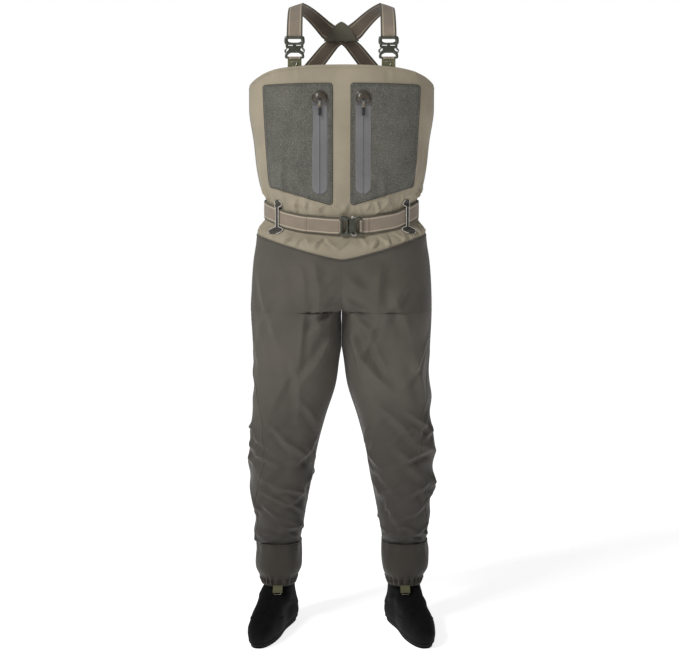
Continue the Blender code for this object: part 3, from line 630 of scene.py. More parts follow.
@dataclass(frozen=True)
class Laminate(Finish):
    """Waterproof woven laminate: a fine plain weave, slow random drift of tone, faint crinkle and, where
    shade is below one, a painted shade that darkens it towards the floor.
    """

    threads: float = 1100.0
    drift: float = 0.10
    crinkle: float = 0.5
    sheen: float = 0.12
    # painted shade: share of the colour left at the floor, the cloth darkening towards the ankle as the
    # light falls off
    shade: float = 1.0

    def build(self, effects: Effects) -> bpy.types.Material:
        """Wire the material."""
        material, g, shader, place = self.begin()
        weave = self.group(g, effects.weave, {"Vector": place.outputs["UV"], "Threads": self.threads})
        mottle = self.group(g, effects.mottle, {"Vector": place.outputs["Object"], "Size": 9.0})
        drift = g.band(mottle.outputs["Drift"], 0.3, 0.7)
        height = g.node("SeparateXYZ", {0: place.outputs["Object"]}).outputs["Z"]
        # painted shade: the colour darkens from 0.78 m down to 0.16 m, standing in for light that falls off
        # towards the floor
        dip = g.math("SUBTRACT", 1.0, g.band(height, 0.16, 0.78))
        low, high = 1 - self.drift, 1 + self.drift
        base = g.mix(drift, g.mix(dip, rgba(self.color, low), rgba(self.color, low * self.shade)),
                     g.mix(dip, rgba(self.color, high), rgba(self.color, high * self.shade)))
        thread = g.mix(g.math("MULTIPLY", weave.outputs["Height"], 0.22), base,
                rgba(self.color, 0.4 * self.shade))
        g.feed(thread, shader, "Base Color")
        rough = g.math("MULTIPLY_ADD", mottle.outputs["Crinkle"], 0.12, self.roughness - 0.06)
        g.feed(rough, shader, "Roughness")
        height = g.math("MULTIPLY_ADD", mottle.outputs["Crinkle"], self.crinkle, g.math(
            "MULTIPLY", weave.outputs["Height"], 0.12))
        self.bump(g, shader, height, 0.55, 0.0012)
        shader.inputs["Sheen Weight"].default_value = self.sheen
        shader.inputs["Specular IOR Level"].default_value = 0.35
        return material


@dataclass(frozen=True)
class Heather(Finish):
    """Heathered softshell: a grey-green ground with light and dark fibres."""

    light: Color = (0.22, 0.22, 0.19)
    dark: Color = (0.035, 0.036, 0.032)

    def build(self, effects: Effects) -> bpy.types.Material:
        """Wire the material."""
        material, g, shader, place = self.begin()
        yarn = self.group(g, effects.heather, {"Vector": place.outputs["Object"], "Size": 780.0})
        mottle = self.group(g, effects.mottle, {"Vector": place.outputs["Object"], "Size": 26.0})
        ground = g.mix(g.band(mottle.outputs["Drift"], 0.3, 0.7), rgba(self.color, 0.86),
                rgba(self.color, 1.14))
        lit = g.mix(g.math("MULTIPLY", yarn.outputs["Light"], 0.85), ground, rgba(self.light))
        full = g.mix(g.math("MULTIPLY", yarn.outputs["Dark"], 0.75), lit, rgba(self.dark))
        g.feed(full, shader, "Base Color")
        self.bump(g, shader, yarn.outputs["Height"], 0.5, 0.0006)
        shader.inputs["Sheen Weight"].default_value = 0.25
        shader.inputs["Specular IOR Level"].default_value = 0.3
        return material


@dataclass(frozen=True)
class Webbing(Finish):
    """Woven elastic: crosswise ribs, with a pale line near each edge and a dark selvedge."""

    stripe: Color = (0.42, 0.36, 0.27)
    selvedge: Color = (0.085, 0.075, 0.054)
    inset: float = 0.155
    half: float = 0.028
    ribs: float = 900.0

    def build(self, effects: Effects) -> bpy.types.Material:
        """Wire the material; pattern x runs across the webbing from 0 to 1, and y along it in metres."""
        material, g, shader, place = self.begin()
        parts = g.node("SeparateXYZ", {0: place.outputs["UV"]})
        across = g.math("MINIMUM", parts.outputs["X"], g.math("SUBTRACT", 1.0, parts.outputs["X"]))
        away = g.math("ABSOLUTE", g.math("SUBTRACT", across, self.inset))
        line = g.math("SUBTRACT", 1.0, g.band(away, self.half * 0.7, self.half * 1.3))
        edge = g.math("SUBTRACT", 1.0, g.band(across, 0.085, 0.110))
        rib = g.math("MULTIPLY_ADD", g.math("SINE", g.math("MULTIPLY", parts.outputs["Y"],
                self.ribs * 2 * math.pi)),
                     0.5, 0.5)
        warp = g.math("MULTIPLY_ADD", g.math("SINE", g.math("MULTIPLY", parts.outputs["X"], 150.0)), 0.5,
                0.5)
        mottle = self.group(g, effects.mottle, {"Vector": place.outputs["Object"], "Size": 40.0})
        ground = g.mix(mottle.outputs["Drift"], rgba(self.color, 0.84), rgba(self.color, 1.16))
        ground = g.mix(g.math("MULTIPLY", g.math("MULTIPLY", rib, warp), 0.30), ground,
                rgba(self.color, 0.5))
        striped = g.mix(line, ground, rgba(self.stripe))
        full = g.mix(edge, striped, rgba(self.selvedge))
        g.feed(full, shader, "Base Color")
        self.bump(g, shader, g.math("MULTIPLY", rib, warp), 0.5, 0.0005)
        shader.inputs["Sheen Weight"].default_value = 0.2
        shader.inputs["Specular IOR Level"].default_value = 0.35
        return material


@dataclass(frozen=True)
class Neoprene(Finish):
    """Black neoprene under a fine knit face."""

    def build(self, effects: Effects) -> bpy.types.Material:
        """Wire the material."""
        material, g, shader, place = self.begin()
        weave = self.group(g, effects.weave, {"Vector": place.outputs["UV"], "Threads": 900.0})
        mottle = self.group(g, effects.mottle, {"Vector": place.outputs["Object"], "Size": 30.0})
        base = g.mix(g.band(mottle.outputs["Drift"], 0.3, 0.7), rgba(self.color, 0.75),
                rgba(self.color, 1.35))
        g.feed(base, shader, "Base Color")
        height = g.math("MULTIPLY_ADD", weave.outputs["Height"], 0.25, mottle.outputs["Crinkle"])
        self.bump(g, shader, height, 0.35, 0.0008)
        shader.inputs["Sheen Weight"].default_value = 0.015
        shader.inputs["Specular IOR Level"].default_value = 0.12
        return material


@dataclass(frozen=True)
class Hard(Finish):
    """Moulded plastic or cast metal: fine grain, scuffed patches and a clear gloss level."""

    metallic: float = 0.0
    scuff: Color = (0.3, 0.3, 0.28)
    scuffed: float = 0.35
    coat: float = 0.0

    def build(self, effects: Effects) -> bpy.types.Material:
        """Wire the material."""
        material, g, shader, place = self.begin()
        wear = self.group(g, effects.wear, {"Vector": place.outputs["Object"]})
        base = g.mix(g.math("MULTIPLY", wear.outputs["Scuff"], self.scuffed), rgba(self.color),
                rgba(self.scuff))
        g.feed(base, shader, "Base Color")
        rough = g.math("MULTIPLY_ADD", wear.outputs["Scuff"], 0.14, self.roughness)
        g.feed(rough, shader, "Roughness")
        self.bump(g, shader, wear.outputs["Grain"], 0.25, 0.0003)
        shader.inputs["Metallic"].default_value = self.metallic
        shader.inputs["Coat Weight"].default_value = self.coat
        shader.inputs["Coat Roughness"].default_value = 0.15
        return material


@dataclass(frozen=True)
class Film(Finish):
    """Semi-clear polymer: tinted, glossy, and partly see-through."""

    alpha: float = 0.9
    coat: float = 0.5

    def build(self, effects: Effects) -> bpy.types.Material:
        """Wire the material."""
        material, g, shader, place = self.begin()
        mottle = self.group(g, effects.mottle, {"Vector": place.outputs["Object"], "Size": 60.0})
        base = g.mix(mottle.outputs["Drift"], rgba(self.color, 0.88), rgba(self.color, 1.12))
        g.feed(base, shader, "Base Color")
        self.bump(g, shader, mottle.outputs["Crinkle"], 0.12, 0.0008)
        shader.inputs["Alpha"].default_value = self.alpha
        shader.inputs["Coat Weight"].default_value = self.coat
        shader.inputs["Coat Roughness"].default_value = 0.12
        return material


@dataclass
class Palette:
    """Every finish of the waders, built together."""

    effects: Effects = field(default_factory=Effects)

    def __post_init__(self) -> None:
        """Build the materials."""
        made = self.effects
        self.tan = Laminate("tan_laminate", (0.325, 0.281, 0.205), 0.80).build(made)
        # the leg cloth carries a painted shade: its colour falls to 0.40 towards the ankle, standing in for
        # light that fades towards the floor
        self.taupe = Laminate("taupe_laminate", (0.086, 0.076, 0.062), 0.72, drift=0.12,
                shade=0.40).build(made)
        # the guard's colour is the leg cloth's at the ankle: the cloth's own dark tone with the painted
        # shade of the lower leg in it
        self.guard = Laminate("guard_cloth", (0.0325, 0.0280, 0.0205), 0.75, drift=0.10).build(made)
        self.heather = Heather("heather_softshell", (0.096, 0.093, 0.078), 0.85).build(made)
        self.heather_edge = Laminate("pocket_edge", (0.045, 0.043, 0.034), 0.6).build(made)
        self.brace = Webbing("brace_webbing", (0.250, 0.203, 0.155), 0.78).build(made)
        # painted shade: a darker copy of the brace webbing, stripe included, for the rear straps
        self.brace_back = Webbing("brace_webbing_shade", (0.150, 0.116, 0.086), 0.80,
                                  stripe=(0.34, 0.28, 0.21)).build(made)
        self.tape = Laminate("olive_tape", (0.122, 0.122, 0.062), 0.7, threads=700.0).build(made)
        self.yoke = Laminate("yoke_cloth", (0.140, 0.132, 0.092), 0.75).build(made)
        self.loop = Laminate("loop_cloth", (0.040, 0.037, 0.031), 0.7).build(made)
        self.piping = Hard("reflective_piping", (0.52, 0.50, 0.45), 0.45, scuffed=0.1).build(made)
        self.thread = Hard("thread", (0.20, 0.18, 0.14), 0.7, scuffed=0.1).build(made)
        self.dark_thread = Hard("dark_thread", (0.03, 0.03, 0.026), 0.7, scuffed=0.1).build(made)
        self.neoprene = Neoprene("neoprene", (0.0035, 0.0035, 0.0038), 0.85).build(made)
        self.sole = Neoprene("sole_rubber", (0.006, 0.006, 0.006), 0.80).build(made)
        self.buckle = Hard("buckle_plastic", (0.060, 0.062, 0.046), 0.34, metallic=0.35,
                           scuff=(0.30, 0.30, 0.27), scuffed=0.25, coat=0.35).build(made)
        # painted highlight: a lighter, more metallic copy of the buckle finish for the sprung arms, which
        # paints the silvery highlights that fall on them
        self.bright = Hard("buckle_bright", (0.34, 0.34, 0.32), 0.26, metallic=0.9, coat=0.2).build(made)
        self.metal = Hard("dull_nickel", (0.46, 0.43, 0.36), 0.30, metallic=1.0).build(made)
        self.brass = Hard("aged_brass", (0.40, 0.31, 0.17), 0.34, metallic=1.0).build(made)
        self.rubber = Hard("pull_rubber", (0.012, 0.012, 0.013), 0.55, scuff=(0.05, 0.05, 0.05)).build(made)
        self.film = Film("zip_film", (0.165, 0.162, 0.165), 0.38).build(made)
        self.coil = Hard("zip_coil", (0.120, 0.115, 0.125), 0.45, scuffed=0.2).build(made)
        self.garage = Film("smoked_plastic", (0.085, 0.070, 0.052), 0.32, alpha=0.66, coat=0.25).build(made)
        self.garage_pad = Film("garage_pad", (0.110, 0.100, 0.092), 0.30, alpha=0.92).build(made)


# ------------------------------------------------------------------ the garment's shape
@dataclass
class BodyForm:
    """The outer shape of bib and legs: superellipse sections whose size follows smooth profiles.

    A section is x = half * |cos|^(2/n), y = depth * |sin|^(2/n); profiles give half and depth by height.
    """

    middle: float
    inseam: float = 0.800
    waist: float = 1.052
    bib_top: float = 1.395
    bib_corner: float = 1.352
    back_top: float = 1.372
    seam_mid: float = 0.932
    seam_side: float = 0.990
    belt_front: float = 1.013
    belt_back: float = 1.058
    power: float = 2.4
    hip: tuple[float, float] = (0.225, 0.125)
    waist_size: tuple[float, float] = (0.187, 0.108)
    chest: tuple[float, float] = (0.227, 0.130)
    leg_share: tuple[float, ...] = (0.2325, 0.2725, 0.335, 0.41, 0.49, 0.57, 0.67, 0.77, 0.87, 1.0)
    leg_inner: tuple[float, ...] = (0.110, 0.104, 0.095, 0.084, 0.071, 0.060, 0.039, 0.014, 0.005, 0.0004)
    leg_outer: tuple[float, ...] = (0.212, 0.215, 0.221, 0.231, 0.234, 0.232, 0.226, 0.220, 0.221, 0.225)
    leg_depth: tuple[float, ...] = (0.056, 0.062, 0.070, 0.081, 0.090, 0.096, 0.102, 0.107, 0.113, 0.122)

    def __post_init__(self) -> None:
        """Lay out the torso's profile knots from the driving sizes."""
        hip, waist, chest = self.hip, self.waist_size, self.chest
        self.knots = (self.inseam, *(self.waist + step for step in (
            -0.130, -0.092, -0.052, -0.024, 0.024, 0.048, 0.088, 0.166)), 1.300, 1.450)
        self.halves = (hip[0], hip[0] - 0.006, hip[0] - 0.012, hip[0] - 0.019, waist[0] + 0.002, waist[0],
                       waist[0] + 0.010, chest[0] - 0.020, chest[0] - 0.011, chest[0], chest[0])
        self.depths = (hip[1] - 0.003, hip[1], hip[1] - 0.002, hip[1] - 0.006, waist[1] + 0.001, waist[1],
                       waist[1] + 0.006, chest[1] - 0.011, chest[1] - 0.006, chest[1], chest[1])

        self.leg_knots = (*(share * self.inseam for share in self.leg_share[:-1]), *self.knots)
        self.turn = np.linspace(0, math.pi, 400)
        c, s = self.oval(self.turn)
        self.arc = np.concatenate([[0.0], np.cumsum(np.hypot(np.diff(c), np.diff(s)))])

    def half(self, z: Array) -> Array:
        """Half width of the torso at a height."""
        return through(z, self.knots, self.halves)

    def depth(self, z: Array) -> Array:
        """Half depth of the torso at a height."""
        return through(z, self.knots, self.depths)

    def seam(self, share: Array) -> Array:
        """Height of the bib to leg seam; share is 0 at the centre and 1 at the side."""
        return self.seam_mid + (self.seam_side - self.seam_mid) * share**1.2

    def belt(self, share: Array, front: Array) -> Array:
        """Height of the belt's middle."""
        centre = np.where(front, self.belt_front, self.belt_back)
        return centre + (self.waist - centre) * share**2.8

    def waisted(self, z: Array, share: Array, front: Array) -> Array:
        """Height that the side profile is read at, so that the narrow line follows the belt."""
        rise = ease(z - self.seam(share), 0.0, 0.045)
        above = np.exp(-((np.maximum(z - self.waist, 0) / 0.09) ** 2))
        return z + (self.waist - self.belt(share, front)) * rise * above

    def oval(self, angle: Array) -> tuple[Array, Array]:
        """Unit section at an angle; 0 is the wearer's left and -90 degrees the front."""
        return signed_power(np.cos(angle), 2 / self.power), signed_power(np.sin(angle), 2 / self.power)

    def torso(self, angle: Array, z: Array, off: Array | float = 0.0) -> Array:
        """Points on the torso at an angle and height, off outside the cloth."""
        c, s = self.oval(angle)
        level = self.waisted(z, np.abs(c), s < 0)
        x = (self.half(level) + off) * c
        y = (self.depth(level) + off) * s + self.middle
        return meet(x, y, z)

    def reach(self, x: Array, z: Array, off: Array | float = 0.0, front: bool = True) -> Array:
        """How far the torso's surface is from the middle plane at x, z."""
        level = self.waisted(z, np.clip(np.abs(x) / self.chest[0], 0, 1), front)
        share = np.clip(np.abs(x) / (self.half(level) + off), 0, 0.999)
        return (self.depth(level) + off) * (1 - share**self.power) ** (1 / self.power)

    def before(self, x: Array, z: Array, off: Array | float) -> Array:
        """Points on the front of the bib at x, z, a little before the cloth."""
        return meet(x, self.middle - self.reach(x, z, off), z)

    def leg_section(self, z: Array) -> tuple[Array, Array, Array]:
        """Centre, half width and half depth of a leg's section; above the crotch it spans the hips."""
        heights = tuple(share * self.inseam for share in self.leg_share)
        inner = through(z, heights, self.leg_inner)
        outer = through(z, self.leg_knots, (*self.leg_outer[:-1], *self.halves))
        depth = through(z, self.leg_knots, (*self.leg_depth[:-1], *self.depths))
        rise = np.clip((z - self.inseam) / (self.seam_mid - 0.012 - self.inseam), 0, 1)
        soft = rise * rise / (rise + 0.03)
        closing = self.leg_inner[-1] - (outer + self.leg_inner[-1]) * soft**0.8
        inner = np.where(z > self.inseam, closing, inner)
        return (outer + inner) / 2, (outer - inner) / 2, depth

    def leg_angle(self, share: Array, z: Array) -> Array:
        """Section angle at a share of the way from the centre seam or inseam to the side seam."""
        centre, half, _ = self.leg_section(z)
        return (math.pi - np.arccos(np.clip(centre / half, 0, 1) ** (self.power / 2))) * (1 - share)

    def leg_run(self, share: Array, z: Array) -> Array:
        """Distance along the cloth from the side seam."""
        _, half, depth = self.leg_section(z)
        return (half + depth) / 2 * np.interp(self.leg_angle(share, z), self.turn, self.arc)

    def leg(self, share: Array, z: Array, side: Side, front: bool, off: Array | float = 0.0) -> Array:
        """Points on a leg; share is 0 at the centre seam or inseam and 1 at the side seam."""
        centre, half, depth = self.leg_section(z)
        angle = self.leg_angle(share, z)
        c, s = self.oval(angle)
        x = np.maximum(centre + (half + off) * c, 0.0001)
        y = (depth + off) * s
        return meet(side.value * x, self.middle + (-y if front else y), z)


@dataclass
class Fold:
    """One soft crease of the cloth: a ridge from start to end with a shallow valley beside it.

    Its height is lift * exp(-(d / width)^1.35) less a wider dip, d being the distance from its line.
    """

    start: tuple[float, float]
    end: tuple[float, float]
    width: float
    lift: float

    def height(self, u: Array, v: Array) -> Array:
        """Height of the fold over flat coordinates u, v in metres."""
        (u0, v0), (u1, v1) = self.start, self.end
        length = math.hypot(u1 - u0, v1 - v0)
        along = ((u - u0) * (u1 - u0) + (v - v0) * (v1 - v0)) / length
        away = ((u - u0) * (v1 - v0) - (v - v0) * (u1 - u0)) / length
        away = away + 0.15 * self.width * np.sin(along / length * 5.0)
        taper = ease(along, -0.1 * length, 0.35 * length) * (1 - ease(along, 0.5 * length, 1.1 * length))
        ridge = np.exp(-np.abs(away / self.width) ** 1.35)
        dip = 0.60 * np.exp(-(((away - 1.6 * self.width) / (1.1 * self.width)) ** 2))
        return self.lift * taper * (ridge - dip)


def scatter(seed: int, count: int, u: tuple[float, float], v: tuple[float, float], tilt: tuple[float, float],
            length: tuple[float, float], width: tuple[float, float],
            lift: tuple[float, float]) -> tuple[Fold, ...]:
    """Lay seeded folds over a patch of cloth.

    Args:
        seed: picks the folds.
        count: how many.
        u: range of their middles along u, metres.
        v: the same along v.
        tilt: range of their angles from the u axis, degrees.
        length: range of their lengths.
        width: range of their widths.
        lift: range of their heights.

    Returns:
        The folds; every other one leans the other way.
    """
    dice = np.random.default_rng(seed)
    made = []
    for k in range(count):
        angle = math.radians(dice.uniform(*tilt)) * (1 if k % 2 else -1)
        half = dice.uniform(*length) / 2
        step = (half * math.cos(angle), half * math.sin(angle))
        at = (u[0] + (u[1] - u[0]) * (k + dice.uniform(0.1, 0.9)) / count, dice.uniform(*v))
        made.append(Fold((at[0] - step[0], at[1] - step[1]), (at[0] + step[0], at[1] + step[1]),
                         dice.uniform(*width), dice.uniform(*lift)))
    return tuple(made)


@dataclass
class Bib:
    """The bib: a tan front panel and a darker back panel that meet in the side seams."""

    form: BodyForm
    palette: Palette
    cloth: float = 0.0011
    rows: int = 130
    columns: int = 170
    flat: tuple[float, float] = (0.62, 0.46)

    def __post_init__(self) -> None:
        """Scatter the pleats that the belt draws up, below it and above it, as heights over the belt."""
        self.pleats: dict[bool, tuple[Fold, ...]] = {}
        for front in (True, False):
            seed = 300 if front else 340
            below = scatter(seed, 26, (-0.29, 0.29), (-0.045, -0.036), (40, 85), (0.028, 0.060),
                    (0.0024, 0.0044),
                            (0.0040, 0.0075))
            above = scatter(seed + 1, 30, (-0.29, 0.29), (0.033, 0.046), (40, 84), (0.024, 0.064),
                            (0.0024, 0.0042), (0.0034, 0.0068))
            long = scatter(seed + 2, 7, (-0.27, 0.27), (0.070, 0.120), (62, 86), (0.09, 0.16),
                    (0.008, 0.014),
                           (0.0018, 0.0034))
            rim = scatter(seed + 3, 12, (-0.26, 0.26), (0.345, 0.365), (74, 88), (0.035, 0.055),
                    (0.006, 0.009),
                          (0.0009, 0.0018))
            self.pleats[front] = (*below, *above, *long, *rim)

    def gathers(self, angle: Array, z: Array) -> Array:
        """Pleats near the belt and the top edge, a soft blouse over the belt, and slow drape everywhere."""
        c, s = self.form.oval(angle)
        is_front = bool(np.mean(s) < 0)
        run = (np.mod(angle, 2 * math.pi) - (1.5 if is_front else 0.5) * math.pi) * 0.19
        belt = self.form.belt(np.abs(c), s < 0)
        rise = z - belt
        total = sum(fold.height(run, rise) for fold in self.pleats[is_front])
        total = total + 0.0046 * np.exp(-(((rise - 0.048) / 0.024) ** 2)) * (0.8 + 0.7 * ripple(run, z, 0.11,
                5))
        total = total + 0.0034 * np.exp(-(((rise + 0.044) / 0.018) ** 2)) * (0.8 + 0.7 * ripple(run, z, 0.09,
                9))
        total = total + 0.0014 * ripple(run, z, 0.12, 11, 2.0) * ease(rise, 0.02, 0.06)
        under_belt = 1 - np.exp(-((rise / 0.0265) ** 6))
        seam = 1 - ease(z, self.form.seam(np.abs(c)), self.form.seam(np.abs(c)) + 0.010)
        sides = ease(np.abs(s), 0.0, 0.35)
        zips = np.exp(-(((np.abs(self.form.half(z) * c) - 0.052) / 0.026) ** 2)) * (s < 0) * ease(z, 1.062,
                1.092)
        for loop in LOOP_ANGLES.values():
            away = np.mod(angle - math.radians(loop) + math.pi, 2 * math.pi) - math.pi
            total = total * (1 - 0.92 * np.exp(-((away / 0.17) ** 4) - (np.abs(rise) / 0.046) ** 8))
        return total * under_belt * (1 - seam) * (0.25 + 0.75 * sides) * (1 - zips)

    def surface(self, angle: Array, z: Array, off: float = 0.0) -> Array:
        """The draped cloth's outer face."""
        return self.form.torso(angle, z, self.gathers(angle, z) + off)

    def front_angle(self, x: Array, z: Array) -> Array:
        """Angle on the front where the section reaches x."""
        share = np.clip(np.abs(x) / self.form.half(z), 0, 1) ** (self.form.power / 2)
        return np.where(x > 0, -np.arccos(share), np.arccos(share) - math.pi)

    def front_at(self, x: Array, z: Array, off: Array | float) -> Array:
        """Points before the draped front at x, z."""
        x, z = np.broadcast_arrays(x, z)
        return self.form.before(x, z, self.gathers(self.front_angle(x, z), z) + off)

    def flat_at(self, x: Array, z: Array, off: Array | float) -> Array:
        """Points before the undraped front at x, z."""
        return self.form.before(x, z, off)

    def zip_line(self, side: Side, across: Array, up: Array) -> Array:
        """1 on a pocket's zip line, fading to 0 either side."""
        return np.exp(-(((across - 0.19) / 0.10) ** 2)) + 0 * up

    def top(self, angle: Array, front: bool) -> Array:
        """Height of the top edge round the body."""
        share = np.abs(self.form.oval(angle)[0])
        form = self.form
        if front:
            return form.bib_top - 0.012 * share**2 - (form.bib_top - 0.012 - form.bib_corner) * share**6
        return form.back_top - (form.back_top - form.bib_corner) * share**4

    def panel(self, front: bool) -> tuple[Array, Array, Array]:
        """Angles, heights and points of one panel."""
        start = math.pi if front else 0.0
        angle = np.linspace(start, start + math.pi, self.columns)[None, :]
        low = self.form.seam(np.abs(self.form.oval(angle)[0]))
        z = low + (self.top(angle, front) - low) * np.linspace(0, 1, self.rows)[:, None]
        angle = angle + 0 * z
        return angle, z, self.surface(angle, z)

    def build(self) -> None:
        """Make the panels, the bound top edge, the side seams and the waist seam."""
        for front, name in ((True, "bib_front"), (False, "bib_back")):
            angle, z, points = self.panel(front)
            uv = np.stack([angle * 0.2, z], axis=-1)
            material = self.palette.tan if front else self.palette.taupe
            panel = put(f"{name}_cloth", slab(points, self.cloth, uv), material,
                        replaces=(name,))
            self.binding(front, name)
        self.side_seams()
        self.waist_seam()

    def binding(self, front: bool, name: str) -> None:
        """A turned and stitched top edge: a soft roll that runs along the rim."""
        start = math.pi if front else 0.0
        angle = np.linspace(start, start + math.pi, 150)
        top = self.top(angle, front)
        turn = np.linspace(0, 2 * math.pi, 14, endpoint=False)
        drop = np.where(np.sin(turn) > 0, 0.0014, 0.0085)
        out = 0.0009 + 0.0 * turn
        z = top[:, None] + 0.0004 + drop[None, :] * np.sin(turn)[None, :] - 0.0008
        off = -self.cloth / 2 + out[None, :] * np.cos(turn)[None, :]
        points = self.form.torso(angle[:, None], z, self.gathers(angle[:, None], z) + off)
        uv = meet((angle * 0.2)[:, None], np.linspace(0, 0.02, 15)[None, :])
        material = self.palette.tan if front else self.palette.taupe
        put(f"{name}_binding", grid_shape(points, uv, wrap=True, caps=True).outward(), material)
        z = top - 0.0060
        path = self.surface(angle, z, 0.0009)
        normal = unit(self.surface(angle, z, 0.004) - path)
        thread = self.palette.tan if front else self.palette.dark_thread
        put(f"{name}_binding_stitches", stitches(path, normal), thread)

    def side_seams(self) -> None:
        """A flat taped seam down each side of the bib."""
        for side in Side:
            angle = 0.0 if side is Side.LEFT else math.pi
            z = np.linspace(self.form.seam_side + 0.001, self.form.bib_corner - 0.002, 90)
            edges = [self.surface(angle + spread + 0 * z, z, 0.0010) for spread in (-0.030, 0.030)]
            strip = ribbon(edges[0], edges[1], 0.0008, 0.0004, 8)
            put(f"{side.label}_bib_seam", strip, self.palette.taupe)

    def waist_seam(self) -> None:
        """The raised seam that joins the bib to the legs all the way round."""
        for front, name in ((True, "front"), (False, "back")):
            start = math.pi if front else 0.0
            angle = np.linspace(start, start + math.pi, 160)
            z = self.form.seam(np.abs(self.form.oval(angle)[0]))
            low = self.form.torso(angle, z - 0.0032, 0.0011)
            high = self.form.torso(angle, z + 0.0004, 0.0011)
            put(f"waist_seam_{name}", ribbon(low, high, 0.0014, 0.0005, 8), self.palette.taupe)
            path = self.form.torso(angle, z - 0.0022, 0.0019)
            normal = unit(self.form.torso(angle, z - 0.0022, 0.006) - path)
            put(f"waist_seam_{name}_stitches", stitches(path, normal), self.palette.dark_thread)


@dataclass
class Leg:
    """One trouser leg from the waist seam to the ankle, as a front and a back panel."""

    side: Side
    form: BodyForm
    palette: Palette
    cloth: float = 0.0011
    end: float = 0.186
    slack_height: float = 0.725
    slack_reach: float = 0.040
    slack_depth: float = 0.0046
    rows: int = 330
    columns: int = 130
    flat: tuple[float, float] = (0.38, 0.80)

    def __post_init__(self) -> None:
        """Lay the folds of both panels: drag lines, knee and calf rumples, stacking at the ankle."""
        seed = 500 if self.side is Side.LEFT else 560
        self.folds: dict[bool, tuple[Fold, ...]] = {}
        for front in (True, False):
            seed += 7
            drag = (Fold((0.305, 0.842), (0.235, 0.796), 0.010, 0.0095),
                    Fold((0.300, 0.812), (0.215, 0.742), 0.010, 0.0092),
                    Fold((0.290, 0.765), (0.225, 0.662), 0.010, 0.0085),
                    Fold((0.285, 0.905), (0.235, 0.850), 0.012, 0.0070),
                    Fold((0.200, 0.930), (0.215, 0.800), 0.014, 0.0060),
                    Fold((0.250, 0.700), (0.160, 0.600), 0.012, 0.0080))
            long = scatter(seed, 8, (0.04, 0.28), (0.58, 0.86), (58, 86), (0.12, 0.24), (0.008, 0.014),
                    (0.0040, 0.0070))
            knee = scatter(seed + 1, 20, (0.02, 0.27), (0.35, 0.56), (12, 50), (0.07, 0.15),
                    (0.0075, 0.0120),
                           (0.0036, 0.0068))
            calf = scatter(seed + 2, 13, (0.02, 0.22), (0.25, 0.37), (15, 60), (0.05, 0.12),
                    (0.0065, 0.0100),
                           (0.0030, 0.0054))
            ankle = scatter(seed + 3, 11, (0.015, 0.19), (0.218, 0.262), (4, 28), (0.05, 0.11),
                    (0.0055, 0.0085),
                            (0.0024, 0.0042))
            self.folds[front] = (*drag, *long, *knee, *calf, *ankle)

    def drape(self, share: Array, z: Array, front: bool) -> Array:
        """Height of the folds and the slow wave of loose cloth."""
        across = self.form.leg_run(share, z)
        seed = 40 + (7 if front else 0) + (20 if self.side is Side.LEFT else 0)
        fade = ease(share, 0.0, 0.12) * (1 - ease(share, 0.84, 1.0))
        total = sum(fold.height(across, z) for fold in self.folds[front])
        total = total + 0.0030 * ripple(across, z, 0.12, seed, 3.0)
        hold = ease(z, self.end, self.end + 0.03) * (1 - ease(z, self.form.seam(share) - 0.03,
                self.form.seam(share)))
        wobble = 0.0042 * ripple(0 * z, z, 0.075, int(self.side.value) + 77, 1.0) * ease(share, 0.55, 1.0)
        return (total * fade + wobble * (1 - ease(z, 0.62, 0.72))) * hold

    def surface(self, share: Array, z: Array, front: bool, off: float = 0.0) -> Array:
        """The draped cloth's outer face; the loose cloth below the crotch hangs in towards the other leg."""
        near = np.exp(-(((z - self.slack_height) / self.slack_reach) ** 2))
        slack = self.slack_depth * near * (1 - ease(share, 0.02, 0.30))
        return self.form.leg(share, z, self.side, front, self.drape(share, z, front) + slack + off)

    def panel(self, front: bool) -> tuple[Array, Array]:
        """Points and pattern coordinates of one panel."""
        share = np.linspace(0, 1, self.columns)[None, :]
        high = self.form.seam(np.abs(np.cos((1 - share) * math.pi / 2)) ** (2 / self.form.power))
        z = self.end + (high - self.end) * np.linspace(0, 1, self.rows)[:, None]
        share = share + 0 * z
        uv = np.stack([share * 0.22, z], axis=-1)
        points = self.surface(share, z, front)
        if (self.side is Side.LEFT) != front:
            points, uv = points[:, ::-1], uv[:, ::-1]
        return points, uv

    def build(self) -> None:
        """Make both panels, their seams and the knee's shaping seam."""
        label = self.side.label
        for front, name in ((True, f"{label}_leg_front"), (False, f"{label}_leg_back")):
            points, uv = self.panel(front)
            piece = put(f"{name}_cloth", slab(points, self.cloth, uv), self.palette.taupe,
                        replaces=(name,))
        self.seam_line("outseam", np.full(140, 1.0), np.linspace(0.20, self.form.seam_side - 0.004, 140))
        knee = np.linspace(0, 1, 120)
        height = 0.215 + (0.70 - 0.215) * knee
        share = through(knee, (0.0, 0.22, 0.45, 0.62, 0.8, 1.0), (0.88, 0.78, 0.66, 0.70, 0.84, 0.985))
        self.seam_line("knee_seam", share, height)

    def seam_line(self, name: str, share: Array, z: Array) -> None:
        """A narrow taped seam that runs over the front panel along given places."""
        step = 0.0022 / 0.20
        edges = [self.surface(np.clip(share + shift, 0, 1), z, True, 0.0008) for shift in (-step, step)]
        if self.side is Side.RIGHT:
            edges = edges[::-1]
        shape = ribbon(edges[0], edges[1], 0.0010, 0.0004, 6)
        put(f"{self.side.label}_{name}", shape, self.palette.taupe)


